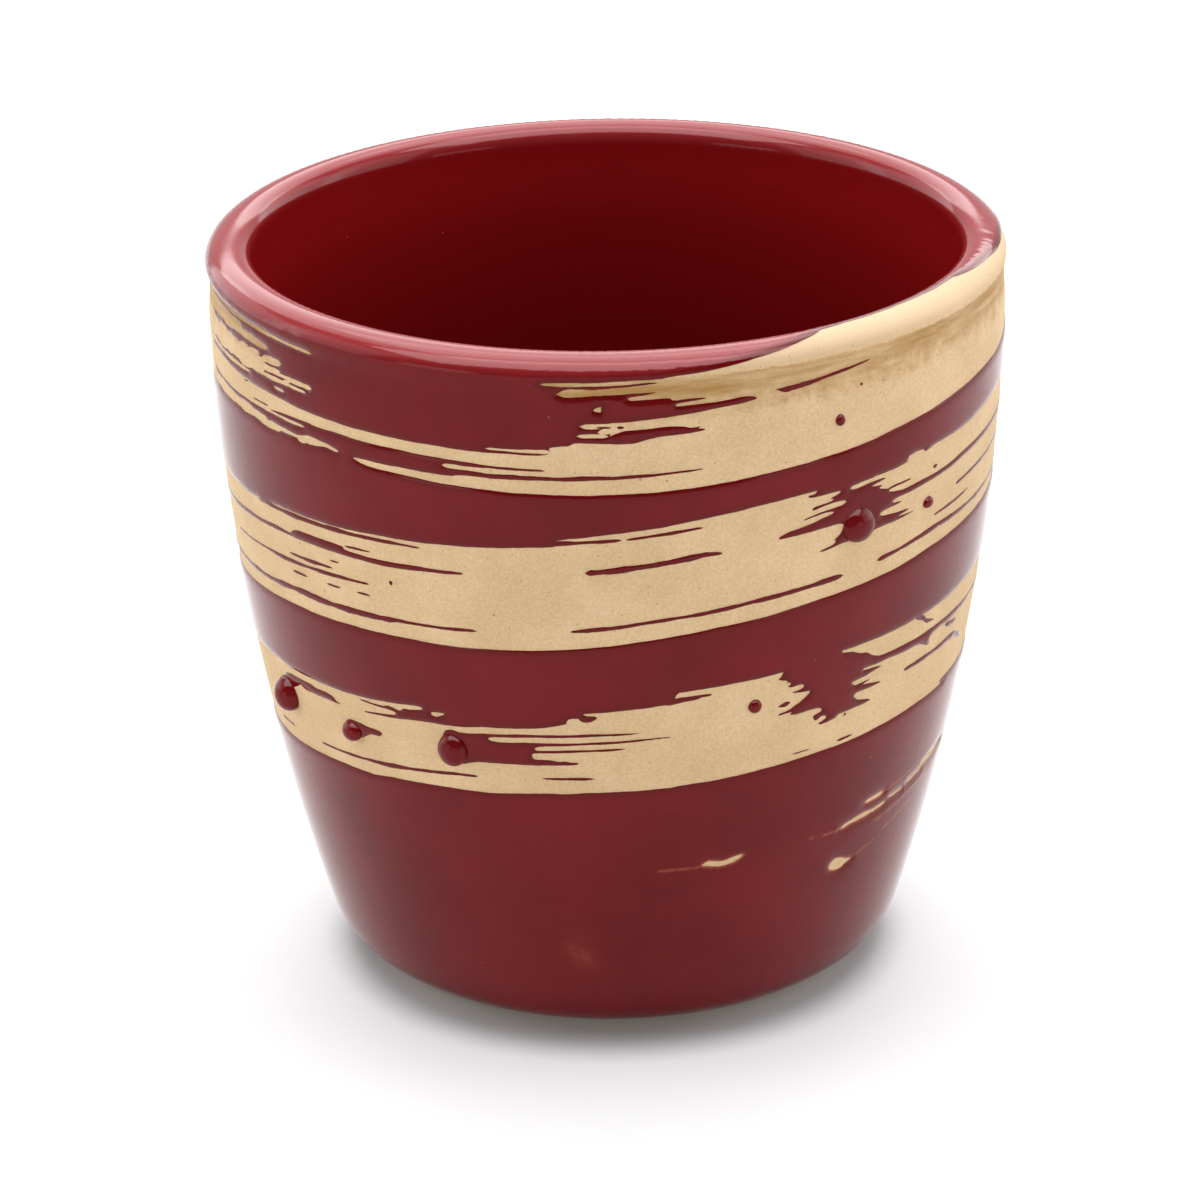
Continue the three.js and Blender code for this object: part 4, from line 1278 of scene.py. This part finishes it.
def clay_material():
    """Bare clay, cloudy and speckled, toasted with painted shade below the lip and with painted shade over
    its round
    """
    tint = bpy.context.scene.cup_colours
    material, kit = new_material("bare stoneware")
    spot = kit.spot()
    height = kit.height(spot)
    cloud = kit.noise(spot, scale=140, detail=5, roughness=0.6)
    grain = kit.noise(spot, scale=3800, detail=3, roughness=0.7)
    lines = kit.noise(kit.stretched(spot, LINES_SCALE), scale=900, detail=3, roughness=0.6)
    cloudy = kit.times(kit.ramp(cloud, 0.35, 0.75), 0.5)
    grainy = kit.times(kit.ramp(grain, 0.4, 0.62), 0.5)
    body = kit.mixed(kit.plus(cloudy, grainy), tint.clay, tint.clay_light)
    # The toasted band under the lip: browned clay and painted shade
    blotch = kit.noise(spot, scale=620, detail=6, roughness=0.7)
    uneven = kit.times(kit.maths("SUBTRACT", blotch, 0.5), TOAST_SHADE_WANDER)
    low = kit.plus(height, uneven)
    high = kit.plus(height, kit.times(uneven, TOAST_SHADE_END_WANDER))
    toast_and_shade = kit.times(kit.ramp(low, *TOAST_SHADE_RISE), kit.ramp(high, *TOAST_SHADE_END))
    toast_and_shade = kit.times(toast_and_shade, kit.ramp(lines, 0.1, 0.75))
    body = kit.mixed(toast_and_shade, body, tint.clay_toast_and_shade)
    # Painted shade over the round of the lip
    lip_shade = kit.times(kit.ramp(high, *LIP_SHADE_RISE), 0.75)
    body = kit.mixed(lip_shade, body, tint.clay_lip_painted_shade)
    fine_specks = kit.sparse_spots(spot, scale=1500, size=0.17, share=0.3)
    specks = kit.sparse_spots(spot, scale=430, size=0.055, share=0.25)
    body = kit.mixed(kit.times(fine_specks, 0.45), body, tint.clay_speck)
    body = kit.mixed(kit.times(specks, 0.8), body, tint.clay_speck)
    rough = kit.plus(kit.times(kit.ramp(grain, 0.2, 0.8), 0.2), 0.66)
    relief = kit.plus(kit.times(grain, 0.6), lines)
    normal = kit.bump(relief, strength=0.35, distance=0.00005)
    kit.shade(body, rough, specular=0.3, Normal=normal)
    return material


def glaze_material():
    """Glossy red glaze, deeper along its edges where it gathers, with painted light inside and a painted
    highlight on the lip's crest
    """
    tint = bpy.context.scene.cup_colours
    material, kit = new_material("red glaze")
    spot = kit.spot()
    cloud = kit.noise(spot, scale=75, detail=5, roughness=0.55)
    body = kit.mixed(kit.ramp(cloud, 0.35, 0.7), tint.glaze, tint.glaze_deep)
    # Painted light: paler glaze over the shaded inside of the cup
    body = kit.mixed(kit.attribute("inside"), body, tint.glaze_inside_painted_light)
    # Thin glaze and a painted highlight over the crest of the lip
    body = kit.mixed(kit.ramp(kit.height(spot), *LIP_GLAZE_HIGHLIGHT_RISE), body, tint.glaze_lip_thin_and_highlight)
    body = kit.mixed(kit.ramp(kit.attribute("edge"), 0.1, 0.55), body, tint.glaze_deep)
    streaky = kit.noise(spot, scale=900, detail=3, roughness=0.6)
    rubbed = kit.times(kit.attribute("worn"), kit.ramp(streaky, 0.2, 0.6))
    body = kit.mixed(rubbed, body, tint.glaze_thin)
    pinholes = kit.sparse_spots(spot, scale=520, size=0.04, share=0.1)
    body = kit.mixed(kit.times(pinholes, 0.8), body, tint.glaze_speck)
    satin = kit.noise(spot, scale=240, detail=4, roughness=0.6)
    rough = kit.plus(kit.times(kit.ramp(satin, 0.3, 0.75), 0.04), 0.1)
    skin = kit.noise(spot, scale=420, detail=2)
    normal = kit.bump(skin, strength=0.12, distance=0.00004)
    kit.shade(body, rough, specular=0.142, IOR=1.5, Normal=normal)
    return material


# The floor's glow where the camera sees it and where it is mirrored, the point the shadow lies round, and
# the distances from it over which the glow comes up
SEEN_GLOW, MIRRORED_GLOW = 0.345, 0.56
SHADOW_SHIFT = (0, 0.0025, 0)
SHADOW_RISE = (0.0255, 0.0315)
# How much darker the cloudy places of the floor are
FLOOR_CLOUD = 0.985


def floor_material():
    """Plain pale floor, lifted towards white away from the shadow under the cup"""
    tint = bpy.context.scene.cup_colours
    material, kit = new_material("studio floor")
    spot = kit.spot()
    cloud = kit.noise(spot, scale=3, detail=2)
    body = kit.mixed(cloud, tint.floor, tuple(FLOOR_CLOUD * c for c in tint.floor))
    path = kit.add("LightPath", {}).outputs
    mirrored = kit.plus(path["Is Glossy Ray"], path["Is Transmission Ray"])
    seen = kit.plus(kit.times(path["Is Camera Ray"], SEEN_GLOW), kit.times(mirrored, MIRRORED_GLOW))
    ahead = kit.stretched(spot, location=SHADOW_SHIFT)
    reach = kit.add("VectorMath", {0: ahead}, operation="LENGTH").outputs["Value"]
    glow = kit.times(seen, kit.ramp(reach, *SHADOW_RISE))
    lit = {"Emission Strength": glow, "Emission Color": (1, 1, 1, 1)}
    kit.shade(body, roughness=0.8, specular=0.1, **lit)
    return material


def material_once(name, make):
    return bpy.data.materials.get(name) or make()


# Roundings of the underside in millimetres: inside the recess, at both ends of its slope, at the foot's inner
# edge, and where the foot meets the base
RECESS_EASE, SLOPE_EASE, FOOT_EASE, FOOT_FILLET = 0.6, 0.25, 0.1, 0.15
# The share of the foot's bevel that its middle point stands in
BEVEL_MIDDLE = 0.3
# How far below the lip the points lie close together, and the points along each stretch of the clay
NECK_REACH = 6
UNDER_POINTS, WALL_POINTS, NECK_POINTS, LIP_POINTS, INSIDE_POINTS, WELL_POINTS = 14, 52, 22, 24, 40, 18
# The same for the liner, and the gap between it and the lap of the outer glaze
LINER_POINTS, LINER_WELL_POINTS = 44, 20
LAP_GAP = 0.01


class CUP_OT_clay_body(bpy.types.Operator):
    """Turn the clay body with its lip, neck, foot ring and well"""

    bl_idname = "cup.clay_body"
    bl_label = "Clay body"

    def execute(self, context):
        section = Section(sizes_mm())
        size = section.size
        outer = section.base_radius - size.foot_setback
        inner = outer - size.foot_width
        middle = BEVEL_MIDDLE * size.foot_bevel
        line = [
            (0, size.recess),
            (inner / 2, size.recess),
            (inner - size.recess - RECESS_EASE, size.recess),
            (inner - size.recess, size.recess - SLOPE_EASE),
            (inner - SLOPE_EASE, SLOPE_EASE),
            (inner + FOOT_EASE, 0),
            (outer - size.foot_bevel, 0),
            (outer - middle, middle),
            (outer, size.foot_bevel),
            (outer, size.foot_height - FOOT_FILLET),
            (outer + FOOT_FILLET, size.foot_height),
        ]
        lip_end, wall_end = section.quarter, section.quarter + section.wall_run
        base_end = wall_end + (math.pi / 2 + section.base_angle) * size.base_round
        stretches = (
            np.linspace(wall_end, base_end, UNDER_POINTS)[::-1],
            np.linspace(lip_end + NECK_REACH, wall_end, WALL_POINTS)[::-1][1:],
            np.linspace(lip_end, lip_end + NECK_REACH, NECK_POINTS)[::-1][1:],
            np.linspace(-lip_end, lip_end, LIP_POINTS)[::-1][1:],
            np.linspace(-lip_end - section.inner_run, -lip_end, INSIDE_POINTS)[::-1][1:],
        )
        line += list(zip(*section.place(np.concatenate(stretches), 0.0)))
        piece = turned("cup_clay", line + section.well(0, WELL_POINTS), size.segments)
        dress(piece, material_once("bare stoneware", clay_material), "clay", "clay_body")
        return {"FINISHED"}


class CUP_OT_liner(bpy.types.Operator):
    """Turn the glaze that lines the inside up to the lap of the outer glaze"""

    bl_idname = "cup.liner"
    bl_label = "Liner glaze"

    def execute(self, context):
        section = Section(sizes_mm())
        size = section.size
        downs = np.linspace(section.start - LAP_GAP, -section.quarter - section.inner_run, LINER_POINTS)
        face, under = (
            list(zip(*section.place(downs, off))) + section.well(off, LINER_WELL_POINTS)
            for off in (size.seat + size.glaze, size.seat)
        )
        piece = turned("cup_liner_glaze", face[::-1] + under, size.segments)
        # The whole liner takes the paler inside glaze, painted light
        layer = piece.data.attributes.new("inside", "FLOAT", "POINT")
        layer.data.foreach_set("value", np.ones(len(piece.data.vertices), np.float32))
        dress(piece, material_once("red glaze", glaze_material), "liner", "liner_glaze")
        return {"FINISHED"}


class CUP_OT_outer_glaze(bpy.types.Operator):
    """Lay the outer glaze with its torn brush window, and the streaks that stand alone in it"""

    bl_idname = "cup.outer_glaze"
    bl_label = "Outer glaze and streaks"

    def execute(self, context):
        places, tris, values, islands = glaze_coat()
        numbers, counts = np.unique(islands, return_counts=True)
        coat = numbers[np.argmax(counts)]
        material = material_once("red glaze", glaze_material)
        piece = glaze_piece("cup_outer_glaze", places, tris[islands == coat], values)
        dress(piece, material, "glaze", "outer_glaze")
        named = turn_names(places, tris, islands, coat)
        for turn in TURNS:
            mine = np.isin(islands, [island for island, name in named.items() if name == turn])
            piece = glaze_piece(f"cup_{turn}_streaks", places, tris[mine], values)
            nodes = [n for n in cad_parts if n.startswith(turn) and "bead" not in n]
            dress(piece, material, "glaze", *nodes)
        return {"FINISHED"}


# How a bead swells from its edge, on clay and on glaze, how much its upper side is drawn in, and the share of
# the glaze's thickness that it is lifted where it lies on glaze
BEAD_SWELL, BEAD_SWELL_ON_GLAZE = 0.9, 1.2
BEAD_DRAWN_IN = 0.1
BEAD_LIFT = 0.4
BEAD_SEGMENTS, BEAD_RINGS = 48, 28


class CUP_OT_beads(bpy.types.Operator):
    """Set the beads of glaze that gathered on the bare band"""

    bl_idname = "cup.beads"
    bl_label = "Glaze beads"

    def execute(self, context):
        section = Section(sizes_mm())
        size = section.size
        material = material_once("red glaze", glaze_material)
        for node, angle, mark, wide, tall, proud, hang, on_glaze in BEADS:
            clear_selection()
            bpy.ops.mesh.primitive_uv_sphere_add(segments=BEAD_SEGMENTS, ring_count=BEAD_RINGS, radius=1)
            piece = bpy.context.object
            piece.name = piece.data.name = "cup_" + node
            bpy.ops.object.mode_set(mode="EDIT")
            bpy.ops.mesh.select_all(action="SELECT")
            bpy.ops.mesh.bisect(plane_co=(0, 0, 0), plane_no=(0, 0, 1), use_fill=True, clear_inner=True)
            bpy.ops.object.mode_set(mode="OBJECT")
            down = float(section.down_at(mark))
            turn = math.radians(angle)
            swell = BEAD_SWELL_ON_GLAZE if on_glaze else BEAD_SWELL
            seat = size.seat + (size.glaze * BEAD_LIFT if on_glaze else 0)
            for vertex in piece.data.vertices:
                x, y, z = vertex.co
                # a soft skirt where it meets the wall, fuller towards its lower side
                rise = z**swell
                aside = x * wide / 2 * (1 - BEAD_DRAWN_IN * max(y, 0))
                below = down - y * tall / 2 + hang * rise * tall
                radius, height = section.place(below, seat + proud * rise)
                around = turn + aside / float(radius)
                vertex.co = Vector((radius * math.sin(around), -radius * math.cos(around), height)) * MM
            bpy.ops.object.mode_set(mode="EDIT")
            bpy.ops.mesh.select_all(action="SELECT")
            bpy.ops.mesh.normals_make_consistent(inside=False)
            bpy.ops.object.mode_set(mode="OBJECT")
            bpy.ops.object.shade_smooth_by_angle(angle=BEAD_SMOOTH)
            dress(piece, material, "glaze", node)
        return {"FINISHED"}


# Lamps: name, place, width and height in metres, brightness, and the kind of ray that doesn't see it
LAMPS = (
    ("top_softbox", (0, 0.26, 0.95), 0.85, 0.85, 4.4, None),
    ("high_sheen", (0, 0.7, 0.9), 1.6, 1.3, 4.3, "diffuse"),
    ("overhead_sheen", (0, -0.3, 1.0), 1.8, 0.8, 10.5, "diffuse"),
    ("left_sheen", (-0.95, 0.6, 0.3), 1.1, 0.8, 2.2, "diffuse"),
    ("right_sheen", (0.95, 0.6, 0.3), 1.1, 0.8, 2.2, "diffuse"),
    ("left_softbox", (-0.95, -0.05, 0.42), 0.7, 0.75, 2.0, None),
    ("right_softbox", (0.95, -0.05, 0.42), 0.7, 0.75, 2.0, None),
    ("front_fill", (0, -1.1, 0.34), 1.4, 0.6, 2.35, "glossy"),
    ("left_window", (-1.05, -0.95, 0.14), 0.55, 0.3, 2.6, "diffuse"),
    ("right_window", (1.05, -0.95, 0.14), 0.55, 0.3, 2.2, "diffuse"),
)
LAMP_AIM = Vector((0, 0, 0.05))
# A white sweep behind the cup and a dim room in front of it, by how far a direction points to the back
SWEEP_RISE = (-0.75, 0.1)
ROOM, SWEEP = (0.07, 0.07, 0.07), (0.8, 0.8, 0.8)
FLOOR_ACROSS = 6
# The camera as fitted to the photograph: metres, degrees and millimetres of lens
CAMERA_PLACE = Vector((-0.001175, -0.462668, 0.22556))
CAMERA_AIM = Vector((-0.001175, 0, 0.035986))
CAMERA_ROLL = -0.88
CAMERA_LENS, CAMERA_SENSOR = 146.256, 36
CAMERA_NEAR, CAMERA_FAR = 0.01, 20


def soft_light(name, place, wide, tall, brightness, unseen_by):
    clear_selection()
    bpy.ops.object.light_add(type="AREA", location=place)
    lamp = bpy.context.object
    lamp.name = name
    lamp.rotation_euler = (LAMP_AIM - Vector(place)).to_track_quat("-Z", "Y").to_euler()
    lamp.data.shape = "RECTANGLE"
    lamp.data.size, lamp.data.size_y = wide, tall
    lamp.data.energy = math.pi * wide * tall * brightness
    lamp.visible_camera = False
    lamp.visible_diffuse = unseen_by != "diffuse"
    lamp.visible_glossy = unseen_by != "glossy"


def studio_world():
    world = bpy.data.worlds.new("studio")
    world.use_nodes = True
    kit = NodeKit(world.node_tree)
    direction = kit.add("TexCoord", {}).outputs["Generated"]
    backward = kit.add("SeparateXYZ", {"Vector": direction}).outputs["Y"]
    glow = kit.mixed(kit.ramp(backward, *SWEEP_RISE), ROOM, SWEEP)
    kit.feed(world.node_tree.nodes["Background"], {"Color": glow})
    return world


def photo_camera():
    back = (CAMERA_PLACE - CAMERA_AIM).normalized()
    right = Vector((0, 0, 1)).cross(back).normalized()
    up = back.cross(right)
    roll = math.radians(CAMERA_ROLL)
    rolled_right = math.cos(roll) * right + math.sin(roll) * up
    rolled_up = -math.sin(roll) * right + math.cos(roll) * up
    bpy.ops.object.camera_add(location=CAMERA_PLACE)
    camera = bpy.context.object
    camera.name = "photo_camera"
    camera.matrix_world = Matrix((rolled_right, rolled_up, back)).transposed().to_4x4()
    camera.location = CAMERA_PLACE
    camera.data.sensor_width = CAMERA_SENSOR
    camera.data.lens = CAMERA_LENS
    camera.data.clip_start, camera.data.clip_end = CAMERA_NEAR, CAMERA_FAR
    return camera


class CUP_OT_stage(bpy.types.Operator):
    """Set the floor, the soft lights and the camera"""

    bl_idname = "cup.stage"
    bl_label = "Stage"

    def execute(self, context):
        clear_selection()
        bpy.ops.mesh.primitive_plane_add(size=FLOOR_ACROSS, location=(0, 0, 0))
        floor = context.object
        floor.name = "studio_floor"
        floor.data.materials.append(floor_material())
        context.scene.world = studio_world()
        for lamp in LAMPS:
            soft_light(*lamp)
        context.scene.camera = photo_camera()
        context.scene.view_settings.view_transform = "Standard"
        return {"FINISHED"}


class CUP_PT_panel(bpy.types.Panel):
    """The cup's pieces, sizes and colours"""

    bl_idname = "CUP_PT_panel"
    bl_label = "Brushed cup"
    bl_space_type = "VIEW_3D"
    bl_region_type = "UI"
    bl_category = "Cup"

    def draw(self, context):
        for group, held in ((CupSizes, context.scene.cup_sizes), (CupColours, context.scene.cup_colours)):
            box = self.layout.box()
            for name in group.__annotations__:
                box.prop(held, name)
        for operator in OPERATORS:
            self.layout.operator(operator.bl_idname)


OPERATORS = (CUP_OT_clay_body, CUP_OT_liner, CUP_OT_outer_glaze, CUP_OT_beads, CUP_OT_stage)
CLASSES = (CupSizes, CupColours, *OPERATORS, CUP_PT_panel)


def register():
    for cls in CLASSES:
        bpy.utils.register_class(cls)
    bpy.types.Scene.cup_sizes = PointerProperty(type=CupSizes)
    bpy.types.Scene.cup_colours = PointerProperty(type=CupColours)


def unregister():
    del bpy.types.Scene.cup_colours
    del bpy.types.Scene.cup_sizes
    for cls in reversed(CLASSES):
        bpy.utils.unregister_class(cls)


def main():
    register()
    bpy.ops.cup.clay_body()
    bpy.ops.cup.liner()
    bpy.ops.cup.outer_glaze()
    bpy.ops.cup.beads()
    bpy.ops.cup.stage()


if __name__ == "__main__":
    main()
